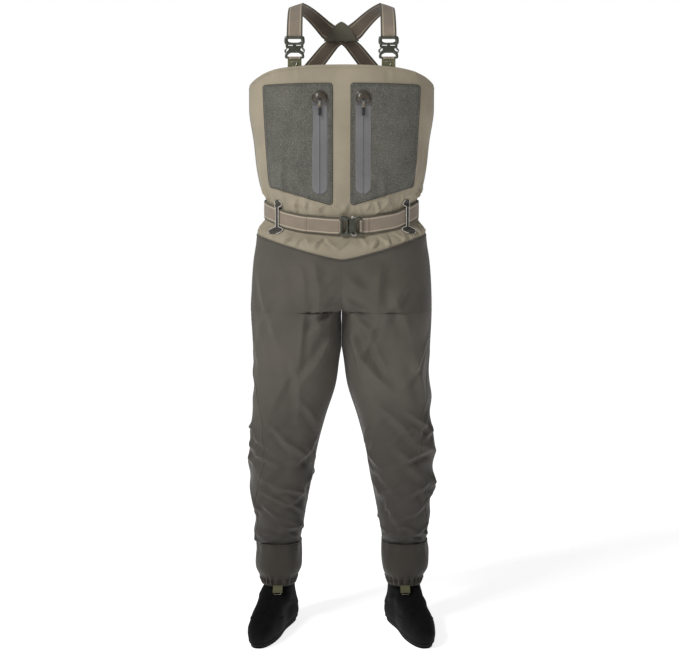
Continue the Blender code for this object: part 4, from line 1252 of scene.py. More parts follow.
@dataclass
class Cuff:
    """A gravel guard: a bulging sleeve over the ankle with a gathered elastic hem."""

    side: Side
    form: BodyForm
    palette: Palette
    ankle_x: float = 0.160
    low: float = 0.106
    top: float = 0.215
    rows: int = 90
    columns: int = 160

    def surface(self, angle: Array, z: Array, off: Array | float = 0.0) -> Array:
        """Points on the sleeve: an oval that bulges above the hem, with pleats that fade upwards."""
        rise = (z - self.low) / (self.top - self.low)
        half = through(rise, (0, 0.08, 0.15, 0.34, 0.62, 1),
                (0.0440, 0.0452, 0.0468, 0.0565, 0.0600, 0.0568))
        depth = through(rise, (0, 0.08, 0.15, 0.34, 0.62, 1),
                (0.0575, 0.0585, 0.0600, 0.0675, 0.0700, 0.0675))
        seed = 5 + int(self.side.value)
        beat = np.sin(angle * 23 + 1.6 * ripple(np.cos(angle), np.sin(angle), 1.3, seed))
        pleat = 0.0022 * beat * np.exp(-((rise - 0.13) / 0.10)
                ** 2) + 0.0010 * beat * (rise < 0.14) * ease(rise, 0, 0.1)
        lobe = 0.0026 * ripple(angle * 0.055, z, 0.075, seed + 3, 1.6) * ease(rise, 0.15, 0.40)
        lobe = lobe * (1 - 0.75 * ease(rise, 0.75, 1.0)) + 0.0009 * np.cos(angle * 11) * ease(rise, 0.5,
                0.95)
        extra = pleat + lobe + off
        x = self.side.value * self.ankle_x + (half + extra) * signed_power(np.cos(angle),
                2 / self.form.power)
        y = self.form.middle + (depth + extra) * signed_power(np.sin(angle), 2 / self.form.power)
        return meet(x, y, z)

    def build(self) -> None:
        """Make the sleeve, its hem, the seam at its top and the stitch rows."""
        label = self.side.label
        angle = np.linspace(0, 2 * math.pi, self.columns, endpoint=False)[None, :]
        wide = np.linspace(0, 2 * math.pi, self.columns + 1)[None, :]
        split = self.low + 0.0165
        for name, low, high, rows in ((f"{label}_guard_elastic", self.low, split, 16),
                                      (f"{label}_gravel_guard", split + 0.0004, self.top, self.rows)):
            z = np.linspace(low, high, rows)[:, None]
            uv = meet(wide * 0.058, z)
            elastic = "elastic" in name
            shape = slab(self.surface(angle, z, 0.0006 if elastic else 0.0), 0.0022 if elastic else 0.0010,
                    uv, True)
            piece = put(f"{name}_cloth", shape, self.palette.guard,
                        replaces=(name,))
        turn = np.linspace(0, 2 * math.pi, 200, endpoint=False)
        for name, height, radius in (("top_seam", self.top - 0.001, 0.0014), ("hem_seam", split, 0.0009)):
            ring = tube(self.surface(turn, np.full(200, height), -0.0002), radius, 8, closed=True)
            put(f"{label}_guard_{name}", ring, self.palette.guard)
        for k, height in enumerate((self.low + 0.004, self.low + 0.012, self.top - 0.006)):
            path = self.surface(turn, np.full(200, height), 0.0009)
            normal = unit(path - [self.side.value * self.ankle_x, self.form.middle, height])
            put(f"{label}_guard_stitches_{k}", stitches(path, normal), self.palette.dark_thread)


@dataclass
class Sock:
    """A neoprene foot: rings from the sole up to the ankle, with bonded seams."""

    side: Side
    form: BodyForm
    palette: Palette
    ankle_x: float = 0.160
    length: float = 0.292
    width: float = 0.100
    heel_reach: float = 0.056
    sole: float = 0.004
    splay: float = math.radians(11)
    levels: tuple[float, ...] = (0.000, 0.010, 0.025, 0.040, 0.055, 0.066, 0.077, 0.087, 0.097, 0.130, 0.160,
            0.192)
    toes: tuple[float, ...] = (0.95, 0.985, 1.000, 0.970, 0.860, 0.680, 0.490, 0.330, 0.220, 0.210, 0.215,
            0.220)
    heels: tuple[float, ...] = (0.93, 0.985, 1.000, 1.000, 0.985, 0.960, 0.930, 0.900, 0.870, 0.830, 0.850,
            0.900)
    halves: tuple[float, ...] = (0.43, 0.47, 0.50, 0.49, 0.455, 0.425, 0.405, 0.395, 0.385, 0.385, 0.415,
            0.460)

    def surface(self, angle: Array, height: Array, off: Array | float = 0.0) -> Array:
        """Points of the foot: a long oval near the floor that turns into the ankle's oval above."""
        toe = through(height, self.levels, self.toes) * (self.length - self.heel_reach) + off
        heel = through(height, self.levels, self.heels) * self.heel_reach + off
        half = through(height, self.levels, self.halves) * self.width + off
        s = np.sin(angle)
        along = np.where(s > 0, heel * s, toe * s)
        waist = 1 - 0.16 * np.exp(-(((along + 0.075) / 0.05) ** 2)) * (1 - ease(height, 0.045, 0.075))
        across = half * waist * signed_power(np.cos(angle), 0.80)
        seed = 31 + int(self.side.value)
        soft = 0.0013 * ripple(along, height, 0.055, seed) * ease(height, 0.01, 0.04)
        crease = 0.0017 * ripple(across * 0.3, height + 0.3 * along, 0.024, seed + 4) * np.exp(
            -(((along + 0.045) / 0.035) ** 2)) * ease(height, 0.03, 0.06)
        across = across + np.sign(across) * (soft + crease) * np.abs(np.cos(angle))
        turn = self.splay * np.clip((0.16 - height) / 0.06, 0, 1)
        x = self.side.value * (self.ankle_x - along * np.sin(turn)) + across * np.cos(turn)
        y = self.form.middle + along * np.cos(turn) + self.side.value * across * np.sin(turn)
        return meet(x, y, height + self.sole + 0.0003)

    def build(self) -> None:
        """Make the sock with its inner wall, the sole and the bonded seams."""
        label = self.side.label
        angle = np.linspace(0, 2 * math.pi, 140, endpoint=False)[None, :]
        height = np.concatenate([np.linspace(0, 0.10, 60), np.linspace(0.103, 0.190, 34)])[:, None]
        wall = self.surface(angle, height)
        middle = wall[:1].mean(axis=1, keepdims=True)
        floor = [middle + (wall[:1] - middle) * share for share in (0.05, 0.35, 0.7, 0.96)]
        outer = np.concatenate([*floor, wall])
        shape = slab(outer, 0.0036, None, wrap=True)
        scaled = [(u * 0.3, v * 0.3) for u, v in grid_shape(outer, wrap=True).corners]
        shape.corners[: len(scaled)] = scaled
        rim = list(range(140))
        count = len(outer.reshape(-1, 3))
        plug = [rim[::-1], [i + count for i in rim]]
        keep = len(shape.faces) - 140
        skip = range((len(outer) - 1) * 140 * 2 + 140, len(shape.faces))
        faces = [face for k, face in enumerate(shape.faces) if k not in skip]
        corners = shape.corners[: 4 * keep] + [(0.0, 0.0)] * 280
        put(f"{label}_sock_skin", Shape(shape.points, faces + plug, corners).outward(),
                self.palette.neoprene,
            replaces=(f"{label}_sock",))
        self.make_sole(label)
        self.make_seams(label)

    def make_sole(self, label: str) -> None:
        """A flat sole of denser rubber with a rounded edge."""
        angle = np.linspace(0, 2 * math.pi, 140, endpoint=False)[None, :]
        rim = self.surface(angle, np.zeros((1, 1)))[..., :2]
        middle = rim.mean(axis=1, keepdims=True)
        rows = []
        for share, z in ((0.05, 0.0), (0.5, 0.0), (0.96, 0.0), (1.0, 0.0010), (1.0, 0.0032), (0.985, 0.0040),
                         (0.5, 0.0040), (0.05, 0.0040)):
            flat = middle + (rim - middle) * share
            rows.append(np.concatenate([flat, np.full(flat.shape[:2] + (1,), z)], axis=-1))
        shape = grid_shape(np.concatenate(rows), wrap=True, caps=True).outward()
        put(f"{label}_sole_sheet", shape, self.palette.sole, replaces=(f"{label}_sole",))

    def make_seams(self, label: str) -> None:
        """Raised bonded seams: up the instep, round the toe cap and round the heel."""
        run = np.linspace(0, 1, 90)
        lines = {
            "instep": (np.full(90, -math.pi / 2), 0.052 + 0.048 * run),
            "toe": (math.radians(-150) + math.radians(120) * run, 0.056 - 0.012 * np.cos(run * 2 * math.pi)),
            "heel": (math.radians(15) + math.radians(150) * run, 0.064 - 0.022 * np.cos(run * 2 * math.pi)),
        }
        for name, (angle, height) in lines.items():
            seam = tube(self.surface(angle, height, 0.0001), 0.0011, 8)
            put(f"{label}_sock_seam_{name}", seam, self.palette.neoprene)
        turn = np.linspace(0, 2 * math.pi, 200, endpoint=False)
        seam = tube(self.surface(turn, np.full(200, 0.0085), 0.0), 0.0012, 8, closed=True)
        put(f"{label}_sock_seam_sole", seam, self.palette.neoprene)


@dataclass
class ChestPocket:
    """A bonded chest pocket: a heathered panel with a narrow dark edge all round."""

    side: Side
    bib: Bib
    palette: Palette
    inner: float = 0.022
    outer_top: float = 0.190
    outer_low: float = 0.172
    top: tuple[float, float] = (1.352, 1.350)
    low: tuple[float, float] = (1.064, 1.104)
    corner: float = 0.007

    def place(self, across: Array, up: Array, off: Array | float) -> Array:
        """Points of the panel; across runs from the centre outwards and up from the bottom."""
        low = self.low[0] + (self.low[1] - self.low[0]) * across
        high = self.top[0] + (self.top[1] - self.top[0]) * across**2
        z = low + (high - low) * up
        from_edge = np.minimum(up, 1 - up) * (high - low)
        inset = self.corner - np.sqrt(np.maximum(self.corner**2 - np.maximum(self.corner - from_edge,
                0) ** 2, 0))
        outer = self.outer_low + (self.outer_top - self.outer_low) * np.sqrt(up)
        x = (self.inner + inset) + (outer - self.inner - 2 * inset) * across
        return self.bib.front_at(self.side.value * x, z, off)

    def build(self) -> None:
        """Make the panel, its edge and the thread row beside it."""
        label = self.side.label
        edge = 0.5 - 0.5 * np.cos(np.linspace(0, math.pi, 18))
        up = np.concatenate([edge[:9] * 0.14, np.linspace(0.075, 0.925, 80), 1 - edge[8::-1] * 0.14])[:,
                None]
        across = np.concatenate([edge[:9] * 0.10, np.linspace(0.06, 0.94, 46), 1 - edge[8::-1] * 0.10])[None,
                :]
        rim = np.minimum(np.minimum(across, 1 - across) * 0.16, np.minimum(up, 1 - up) * 0.27)
        lift = 0.0021 * ease(rim, -0.0004, 0.0012)
        swell = 0.0016 * ease(rim, 0.0, 0.06) * (1 + ripple(across * 0.16, up * 0.28, 0.12,
                61 + int(self.side.value)))
        points = self.place(across, up, lift + swell * (1 - self.bib.zip_line(self.side, across, up)))
        uv = meet(across * 0.16, up * 0.27)
        if self.side is Side.RIGHT:
            points, uv = points[:, ::-1], uv[:, ::-1]
        panel = put(f"{label}_pocket_cloth", slab(points, 0.0014, uv), self.palette.heather,
                    replaces=(f"{label}_pocket_panel",))
        path = self.outline(0.0, 0.0012)
        put(f"{label}_pocket_edge", tube(path, 0.0008, 8, closed=True), self.palette.heather_edge)
        path = self.outline(0.0045, 0.0028)
        normal = np.tile([0.0, -1.0, 0.0], (len(path), 1))
        put(f"{label}_pocket_stitches", stitches(path, normal), self.palette.dark_thread)

    def outline(self, inset: float, off: float) -> Array:
        """A closed path round the panel, inset from its border."""
        a, b = inset / 0.16, inset / 0.27
        run = np.linspace(0, 1, 60, endpoint=False)
        fine = 0.5 - 0.5 * np.cos(run * math.pi)
        across = np.concatenate([a + (1 - 2 * a) * run, np.full(60, 1 - a), 1 - a - (1 - 2 * a) * run,
                np.full(60, a)])
        up = np.concatenate([np.full(60, b), b + (1 - 2 * b) * fine, np.full(60, 1 - b),
                1 - b - (1 - 2 * b) * fine])
        return self.place(across, up, off)


@dataclass
class WaterproofZip:
    """A coated zip: two film lips over a coil, with a parking dome over the slider at the top."""

    side: Side
    bib: Bib
    palette: Palette
    x: float = 0.052
    top: float = 1.335
    bottom: float = 1.090
    half: float = 0.0185
    dome: float = 0.0185
    height: float = 0.0075
    plane: float = 0.0037

    def at(self, across: Array, z: Array, off: Array | float) -> Array:
        """Points before the pocket at a distance across from the zip's line."""
        return self.bib.flat_at(self.side.value * self.x + across, z, self.plane + off)

    def build(self) -> None:
        """Make the tape, coil, dome, slider, link and pull."""
        self.make_tape()
        self.make_dome()
        self.make_slider()

    def make_tape(self) -> None:
        """The tape's lips and the coil that shows between them."""
        label = self.side.label
        shapes = []
        for way in (-1.0, 1.0):
            up = (0.5 - 0.5 * np.cos(np.linspace(0, math.pi, 90)))[:, None]
            z = self.bottom + (self.top + 0.002 - self.bottom) * up
            near = np.minimum(z - self.bottom, self.top + 0.002 - z)
            width = np.sqrt(np.maximum(self.half**2 - np.maximum(self.half - near, 0) ** 2, 0.0022**2))
            share = np.linspace(0, 1, 18)[None, :]
            across = 0.0005 + (width - 0.0005) * share
            lip = 0.0007 * np.exp(-(((across - 0.0019) / 0.0010)
                    ** 2)) - 0.0006 * np.exp(-((across / 0.0008) ** 2))
            rim = -0.0005 * ease(share, 0.93, 1.0)
            ridge = 0.00018 * np.sin(across * 2 * math.pi / 0.0036) * (across > 0.004)
            points = self.at(way * across, z + 0 * share, lip + rim + ridge)
            uv = meet(across * way, z)
            if way < 0:
                points, uv = points[:, ::-1], uv[:, ::-1]
            shapes.append(slab(points, 0.0010, uv))
        put(f"{label}_zip_tape_film", shapes[0].joined(shapes[1]), self.palette.film,
            replaces=(f"{label}_zip_tape",))
        count = 190
        z = np.linspace(self.bottom + 0.004, self.top - 0.004, count)
        base = self.at(np.zeros(count), z, -0.0006)
        step = 0.00042
        corner = np.array([[-0.0016, 0, -step], [0.0016, 0, -step], [0.0016, 0, step], [-0.0016, 0, step],
                           [-0.0016, -0.0007, -step], [0.0016, -0.0007, -step], [0.0016, -0.0007, step],
                           [-0.0016, -0.0007, step]])
        points = base[:, None, :] + corner[None]
        one = [[0, 1, 2, 3], [4, 7, 6, 5], [0, 4, 5, 1], [1, 5, 6, 2], [2, 6, 7, 3], [3, 7, 4, 0]]
        faces = [[i + 8 * k for i in face] for k in range(count) for face in one]
        shape = Shape(points.reshape(-1, 3), faces, [(0.0, 0.0)] * (count * 24)).outward()
        put(f"{label}_zip_coil", shape, self.palette.coil)

    def make_dome(self) -> None:
        """The parking dome: a shallow half dome with a flat flange, open at its lower side."""
        label = self.side.label
        centre = self.top - self.dome + 0.0005
        reach = np.concatenate([np.linspace(0.03, 0.80, 18), [0.84, 0.88, 0.94, 1.0]])[:, None]
        angle = np.linspace(math.radians(-30), math.radians(210), 72)[None, :]
        rise = self.height * np.sqrt(np.maximum(1 - (reach / 0.86) ** 2, 0)) + 0.0012
        across = self.dome * reach * np.cos(angle)
        z = centre + self.dome * reach * np.sin(angle)
        outer = self.at(across, z, rise)
        put(f"{label}_zip_dome", slab(outer, 0.0009).outward(), self.palette.garage,
            replaces=(f"{label}_zip_garage",), smooth_angle=55)
        ring = np.linspace(math.radians(-30), math.radians(210), 60)
        for name, share, radius, off in (("rim", 0.985, 0.0008, 0.0012), ("lip", 0.845, 0.0006, 0.0022)):
            path = self.at(self.dome * share * np.cos(ring), centre + self.dome * share * np.sin(ring), off)
            put(f"{label}_zip_dome_{name}", tube(path, radius, 8), self.palette.garage_pad)
        low = np.linspace(-1, 1, 20)
        mouth = self.at(self.dome * 0.62 * low, centre - self.dome * (0.46 - 0.10 * (1 - low**2)),
                        0.0020 + self.height * 0.72 * (1 - low**2) ** 0.7)
        put(f"{label}_zip_dome_mouth", tube(mouth, 0.0006, 8), self.palette.garage_pad)
        pads = []
        for way in (-1.0, 1.0):
            across = way * (0.0065 + 0.0105 * np.linspace(0, 1, 6)[None, :])
            z = centre - 0.0175 + 0.0085 * np.linspace(0, 1, 6)[:, None]
            points = self.at(across, z + 0 * across, 0.0011 + 0 * across * z)
            pads.append(slab(points[:, ::-1] if way < 0 else points, 0.0009).outward())
        put(f"{label}_zip_dome_pads", pads[0].joined(pads[1]), self.palette.garage_pad)

    def make_slider(self) -> None:
        """Slider body, link and moulded pull, each on the body that carries it."""
        label = self.side.label
        low, high = (np.array(corner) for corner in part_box(f"{label}_zip_slider"))
        mid, half = (low + high) / 2, (high - low) / 2
        plates = []
        for depth in (-0.62, 0.62):
            outline = [(-0.55, -1.0), (0.55, -1.0), (0.9, 0.2), (1.0, 0.85), (0.6, 1.0), (-0.6, 1.0),
                    (-1.0, 0.85),
                       (-0.9, 0.2)]
            ring = [(mid[0] + half[0] * u, mid[2] + half[2] * v) for u, v in outline]
            plates.append(plate(ring, mid[1] + half[1] * (depth - 0.30), mid[1] + half[1] * (depth + 0.30)))
        bridge = np.array([[mid[0], low[1] - 0.0001 + 0.0016 * (1 - math.sin(a)),
                mid[2] - 0.0042 * math.cos(a)]
                           for a in np.linspace(0.15, math.pi - 0.15, 16)])
        body = plates[0].joined(plates[1], tube(bridge, 0.0010, 8), plate(
            [(mid[0] + 0.5 * half[0] * u, mid[2] + 0.7 * half[2] * v) for u, v in (
                (-1, -1), (1, -1), (1, 1), (-1, 1))], mid[1] - half[1] * 0.4, mid[1] + half[1] * 0.4))
        put(f"{label}_zip_slider_metal", body, self.palette.metal, f"{label}_zip_slider",
            replaces=(f"{label}_zip_slider",))
        low, high = (np.array(corner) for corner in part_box(f"{label}_zip_link"))
        mid, half = (low + high) / 2, (high - low) / 2
        turn = np.linspace(0, 2 * math.pi, 40, endpoint=False)
        ring = np.stack([mid[0] + (half[0] - 0.0005) * np.cos(turn), mid[1] + 0 * turn,
                         mid[2] + (half[2] - 0.0005) * np.sin(turn)], axis=-1)
        put(f"{label}_zip_link_ring", tube(ring, 0.00055, 8, closed=True), self.palette.brass,
            f"{label}_zip_pull", replaces=(f"{label}_zip_link",))
        low, high = (np.array(corner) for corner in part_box(f"{label}_zip_pull"))
        mid, half = (low + high) / 2, (high - low) / 2
        rows = np.linspace(-1, 1, 40)[:, None]
        turn = np.linspace(0, 2 * math.pi, 24, endpoint=False)[None, :]
        width = half[0] * (0.72 + 0.28 * np.abs(rows) ** 1.5) * np.sqrt(np.clip(1 - rows**8, 0.02, 1))
        thick = half[1] * (0.95 - 0.10 * (np.abs(np.sin(rows * 9)) > 0.8)) * np.sqrt(np.clip(1 - rows**10,
                0.02, 1))
        points = meet(
            mid[0] + width * signed_power(np.cos(turn), 0.6),
            mid[1] + thick * signed_power(np.sin(turn), 0.6),
            mid[2] + half[2] * rows)
        put(f"{label}_zip_pull_tab", grid_shape(points, wrap=True, caps=True).outward(), self.palette.rubber,
            f"{label}_zip_pull", replaces=(f"{label}_zip_pull",))


# ------------------------------------------------------------------ hardware
@dataclass
class SideReleaseBuckle:
    """A skeletal side-release buckle: an open socket, a framed plug and two sprung arms.

    Local frame: x across, y thick, +z the way the plug pulls out.
    """

    prefix: str
    palette: Palette
    place: Matrix
    size: float = 1.15
    half: float = 0.0045

    def world(self, shape: Shape) -> Shape:
        """Carry a shape from the buckle's own frame into the model."""
        turn = np.array(self.place.to_3x3()) * self.size
        return Shape(shape.points @ turn.T + np.array(self.place.translation), shape.faces,
                shape.corners).outward()

    def loop(self, corners: list[tuple[float, float]], count: int = 64, soft: float = 0.22) -> Array:
        """A closed smooth loop near a polygon's corners, evenly spaced."""
        ring = np.array(corners + corners[:1], float)
        run = np.concatenate([[0], np.cumsum(np.linalg.norm(np.diff(ring, axis=0), axis=1))])
        even = np.linspace(0, run[-1], count, endpoint=False)
        loop = np.stack([np.interp(even, run, ring[:, k]) for k in range(2)], axis=-1)
        for _ in range(int(soft * 20)):
            loop = 0.5 * loop + 0.25 * (np.roll(loop, 1, axis=0) + np.roll(loop, -1, axis=0))
        return loop

    def frame(self, outer: list[tuple[float, float]], inner: list[tuple[float, float]],
            half: float) -> Shape:
        """A flat ring between two loops with a rounded section."""
        a, b = self.loop(outer), self.loop(inner)
        turn = np.linspace(0, 2 * math.pi, 16, endpoint=False)
        c, s = signed_power(np.cos(turn), 0.55), signed_power(np.sin(turn), 0.55)
        flat = (a + b)[:, None, :] / 2 + (a - b)[:, None, :] / 2 * c[None, :, None]
        points = np.stack([flat[..., 0], half * s[None, :] + 0 * flat[..., 0], flat[..., 1]], axis=-1)
        return ring_grid(points)

    def bar(self, path: list[tuple[float, float, float]], wide: float, thick: float) -> Shape:
        """A flat bar with a rounded section along a smooth path of x, y, z."""
        knots = np.array(path, float)
        at = np.linspace(0, 1, len(knots))
        even = np.linspace(0, 1, 24)
        line = np.stack([through(even, tuple(at), tuple(knots[:, k])) for k in range(3)], axis=-1)
        along = unit(np.gradient(line, axis=0))
        out = np.array([0.0, 1.0, 0.0])
        side = unit(np.cross(along, out))
        turn = np.linspace(0, 2 * math.pi, 14, endpoint=False)
        c, s = signed_power(np.cos(turn), 0.6), signed_power(np.sin(turn), 0.6)
        points = (line[:, None, :] + side[:, None, :] * (wide / 2 * c)[None, :, None]
                  + out * (thick / 2 * s)[None, :, None])
        return grid_shape(points, wrap=True, caps=True).outward()

    def build(self, socket_body: str, plug_body: str, arm_body: Callable[[str], str]) -> None:
        """Make the socket, plug and arms and hang each on its body."""
        nodes = {kind: f"{self.prefix}_buckle_{kind}" for kind in ("socket", "plug")}
        put(f"{nodes['socket']}_body", self.world(self.socket()), self.palette.buckle,
                socket_body,
            replaces=(nodes["socket"],))
        put(f"{nodes['plug']}_body", self.world(self.plug()), self.palette.buckle,
                plug_body,
            replaces=(nodes["plug"],))
        for side in Side:
            name = f"{self.prefix}_buckle_arm_{side.label}"
            arm = self.bar([(side.value * x, 0, z) for x, z in (
                (0.0158, 0.0272), (0.0162, 0.0215), (0.0196, 0.0168), (0.0182, 0.0126), (0.0152, 0.0110))],
                0.0042, 0.0046)
            # the arms wear the lighter painted-highlight finish
            put(f"{name}_spring", self.world(arm), self.palette.bright,
                    arm_body(side.label),
                replaces=(name,))

    def face(self, corners: list[tuple[float, float]], low: float, high: float) -> Shape:
        """A flat plate with a smoothed outline between two depths."""
        return plate([tuple(point) for point in self.loop(corners)], low, high, 0.0006)

    def socket(self) -> Shape:
        """The socket: a foot with an arched window, and a front and a back face with an X-shaped waist."""
        half = self.half
        foot = self.frame([(-0.020, 0.0), (0.020, 0.0), (0.0205, 0.0060), (0.0186, 0.0130), (0.0120, 0.0180),
                           (-0.0120, 0.0180), (-0.0186, 0.0130), (-0.0205, 0.0060)],
                          [(-0.0148, 0.0036), (0.0148, 0.0036), (0.0146, 0.0078), (0.0080, 0.0118),
                           (-0.0080, 0.0118), (-0.0146, 0.0078)], half * 0.95)
        waist = [(-0.0188, 0.0110), (-0.0110, 0.0130), (0.0110, 0.0130), (0.0188, 0.0110), (0.0130, 0.0165),
                 (0.0105, 0.0195), (0.0135, 0.0222), (0.0200, 0.0236), (0.0200, 0.0262), (-0.0200, 0.0262),
                 (-0.0200, 0.0236), (-0.0135, 0.0222), (-0.0105, 0.0195), (-0.0130, 0.0165)]
        faces = [self.face(waist, way * half - 0.0010, way * half + 0.0010) for way in (-0.74, 0.74)]
        boss = self.face([(-0.0070, 0.0148), (0.0070, 0.0148), (0.0056, 0.0236), (-0.0056, 0.0236)],
                         -half * 1.04, half * 1.04)
        return foot.joined(*faces, boss)

    def plug(self) -> Shape:
        """The plug: a frame with a U-shaped window, the bar that holds the webbing, and a guide tongue."""
        frame = self.frame([(-0.0196, 0.0280), (0.0196, 0.0280), (0.0216, 0.0330), (0.0205, 0.0460),
                            (-0.0205, 0.0460), (-0.0216, 0.0330)],
                           [(-0.0078, 0.0326), (0.0078, 0.0326), (0.0134, 0.0346), (0.0138, 0.0400),
                            (-0.0138, 0.0400), (-0.0134, 0.0346)], 0.0046)
        tongue = self.bar([(0, 0, 0.0150), (0, 0, 0.0220), (0, 0, 0.0295)], 0.0066, 0.0022)
        stubs = [self.bar([(side.value * 0.0158, 0, 0.0262), (side.value * 0.0160, 0, 0.0300)], 0.0052,
                0.0056)
                 for side in Side]
        return frame.joined(tongue, *stubs)

    def wrap(self, name: str, low: float, high: float, half: float, body: str, gap: float = 0.0) -> None:
        """Webbing folded round a bar between two heights of the local frame."""
        turn = np.linspace(0, 2 * math.pi, 40, endpoint=False)
        middle, reach = (low + high) / 2, (high - low) / 2
        z = middle + reach * signed_power(np.sin(turn), 0.7)
        y = (self.half - 0.0002 + gap) * signed_power(np.cos(turn), 0.6)
        ring = np.stack([0 * turn, y, z], axis=-1)
        left, right = ring + [-half, 0, 0], ring + [half, 0, 0]
        share = np.linspace(0, 1, 12)[None, :, None]
        middle_grid = left[:, None, :] * (1 - share) + right[:, None, :] * share
        outward = unit(middle_grid - middle_grid.mean(axis=0, keepdims=True))
        inner = middle_grid - outward * 0.0014
        points = np.concatenate([middle_grid, inner[:, ::-1]], axis=1)
        run = np.linspace(0, 4 * (reach + self.half), 41)
        u = np.concatenate([share[0, :, 0], share[0, ::-1, 0], share[0, :1, 0]])
        uv = meet(u[None, :], run[:, None])
        put(name, self.world(ring_grid(points, uv)), self.palette.brace, body)


@dataclass
class Brace:
    """One elastic brace: tab, front strap over the shoulder, rear strap to the yoke and its lower end."""

    side: Side
    form: BodyForm
    palette: Palette
    tab_y: float
    buckle_long: float = 0.0529
    x: float = STRAP_X
    width: float = 0.038
    shoulder: float = 1.555
    buckle: float = 1.411
    yoke: float = 1.500
    yoke_half: float = 0.044
    web: float = 0.0018
    fold: float = -0.006

    def back(self, x: Array, z: Array) -> Array:
        """Depth of the rear straps: on the bib's back, then leaning in towards the shoulders."""
        lean = 0.13 * np.maximum(z - self.form.back_top - 0.01, 0)
        return self.form.middle + self.form.reach(x, np.minimum(z, self.form.back_top), front=False) - lean

    def strip(self, name: str, outer: Array, inner: Array, material: bpy.types.Material, body: str,
              replaces: str) -> bpy.types.Object:
        """A strap between its outer and inner edge."""
        pair = (outer, inner) if self.side is Side.RIGHT else (inner, outer)
        return put(name, ribbon(*pair, self.web, 0.0005, 18), material, body,
                replaces=(replaces,))

    def build(self) -> None:
        """Make every strap of this side."""
        label, sign, form = self.side.label, self.side.value, self.form
        half = self.width / 2
        turn = np.linspace(0, math.pi / 2, 70)
        low = self.buckle + self.buckle_long + 0.0003
        front_y = self.tab_y - self.web / 2
        fold = form.middle + self.fold
        tops = ((half, self.shoulder - 0.012, self.x + 0.016), (-half, self.shoulder, self.x - 0.020))
        edges = []
        for offset, top, top_x in tops:
            x = sign * (self.x + offset + (top_x - self.x - offset) * turn / turn[-1])
            y = fold - 0.0003 + (front_y - fold) * np.cos(turn)
            edges.append(np.stack([x, y, low + (top - low) * np.sin(turn)], axis=-1))
        front = self.strip(f"{label}_brace_front", *edges, self.palette.brace, "garment",
                f"{label}_strap_front")
        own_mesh(front)
        self.rear(label, tops, turn, fold)
        z = np.linspace(form.bib_top - 0.025, self.buckle - 0.0003, 24)
        flat = np.stack([0 * z + sign * self.x, 0 * z + self.tab_y - 0.0007, z], axis=-1)
        tab = ribbon(flat - [0.0165, 0, 0], flat + [0.0165, 0, 0], 0.0014, 0.0002, 14)
        put(f"{label}_olive_tab", tab, self.palette.tape, replaces=(f"{label}_bib_tab",))

    def rear(self, label: str, tops: tuple[tuple[float, float, float], ...], turn: Array,
            fold: float) -> None:
        """The rear strap: over the shoulder, through the yoke and down to the other side of the back."""
        sign, yoke_z = self.side.value, self.yoke
        middle = float(self.back(np.array(0.0), np.array(yoke_z))) + 0.001
        edges = []
        ends = (((self.yoke_half + 0.0015, -0.021), (-0.003, -0.031), (-0.103, 1.338)),
                ((0.028, 0.023), (-0.048, -0.029), (-0.152, 1.350)))
        for (_, top, top_x), ((x0, z0), (x1, z1), (x2, z2)) in zip(tops, ends):
            x = top_x + (x0 - top_x) * turn / turn[-1]
            y = fold + 0.0003 + (middle - fold) * np.sin(turn)
            z = top + (yoke_z + z0 - top) * (1 - np.cos(turn))
            fall = np.linspace(0, 1, 70)[1:]
            low_x, low_z = x1 + (x2 - x1) * fall, yoke_z + z1 + (z2 - yoke_z - z1) * fall
            low_y = self.back(low_x, low_z) + self.web + 0.002
            cross = np.linspace(0, 1, 26)[1:]
            cross_x, cross_z = x0 + (x1 - x0) * cross, yoke_z + z0 + (z1 - z0) * cross
            cross_y = middle + (low_y[0] - middle) * ease(cross, 0.55, 1.0)
            line = np.stack([np.concatenate(parts) for parts in (
                (x, cross_x, low_x), (y, cross_y, low_y), (z, cross_z, low_z))], axis=-1)
            for _ in range(30):
                line[1:-1] = 0.5 * line[1:-1] + 0.25 * (line[2:] + line[:-2])
            near = np.exp(-(((line[:, 2] - yoke_z + 0.006) / 0.034) ** 4))
            line[:, 1] += (0.0018 if sign > 0 else -0.0002) * near * (1 - ease(np.arange(len(line)) * 1.0,
                    130, 160))
            edges.append(line * [sign, 1, 1])
        outer, inner = edges
        pair = (outer, inner) if self.side is Side.RIGHT else (inner, outer)
        other = Side.RIGHT if self.side is Side.LEFT else Side.LEFT
        # the rear strap wears the darker painted-shade copy of the webbing
        put(f"{label}_brace_rear", ribbon(*pair, self.web, 0.0003, 18), self.palette.brace_back,
            replaces=(f"{label}_strap_back", f"{other.label}_strap_anchor"))
        self.anchor_stitches(label, outer, inner)

    def anchor_stitches(self, label: str, outer: Array, inner: Array) -> None:
        """A sewn box with a cross near the strap's lower end."""
        out = np.array([0.0, 1.0, 0.0])
        rows = outer[-16:], inner[-16:]
        left, right = (rows[0] * 0.88 + rows[1] * 0.12), (rows[0] * 0.12 + rows[1] * 0.88)
        lines = [left, right, np.linspace(left[0], right[0], 8), np.linspace(left[-1], right[-1], 8),
                 np.linspace(left[0], right[-1], 12), np.linspace(right[0], left[-1], 12)]
        rows_made = [stitches(line + out * 0.0006, np.tile(out, (len(line), 1))) for line in lines]
        put(f"{label}_brace_lower_stitches", rows_made[0].joined(*rows_made[1:]), self.palette.dark_thread)


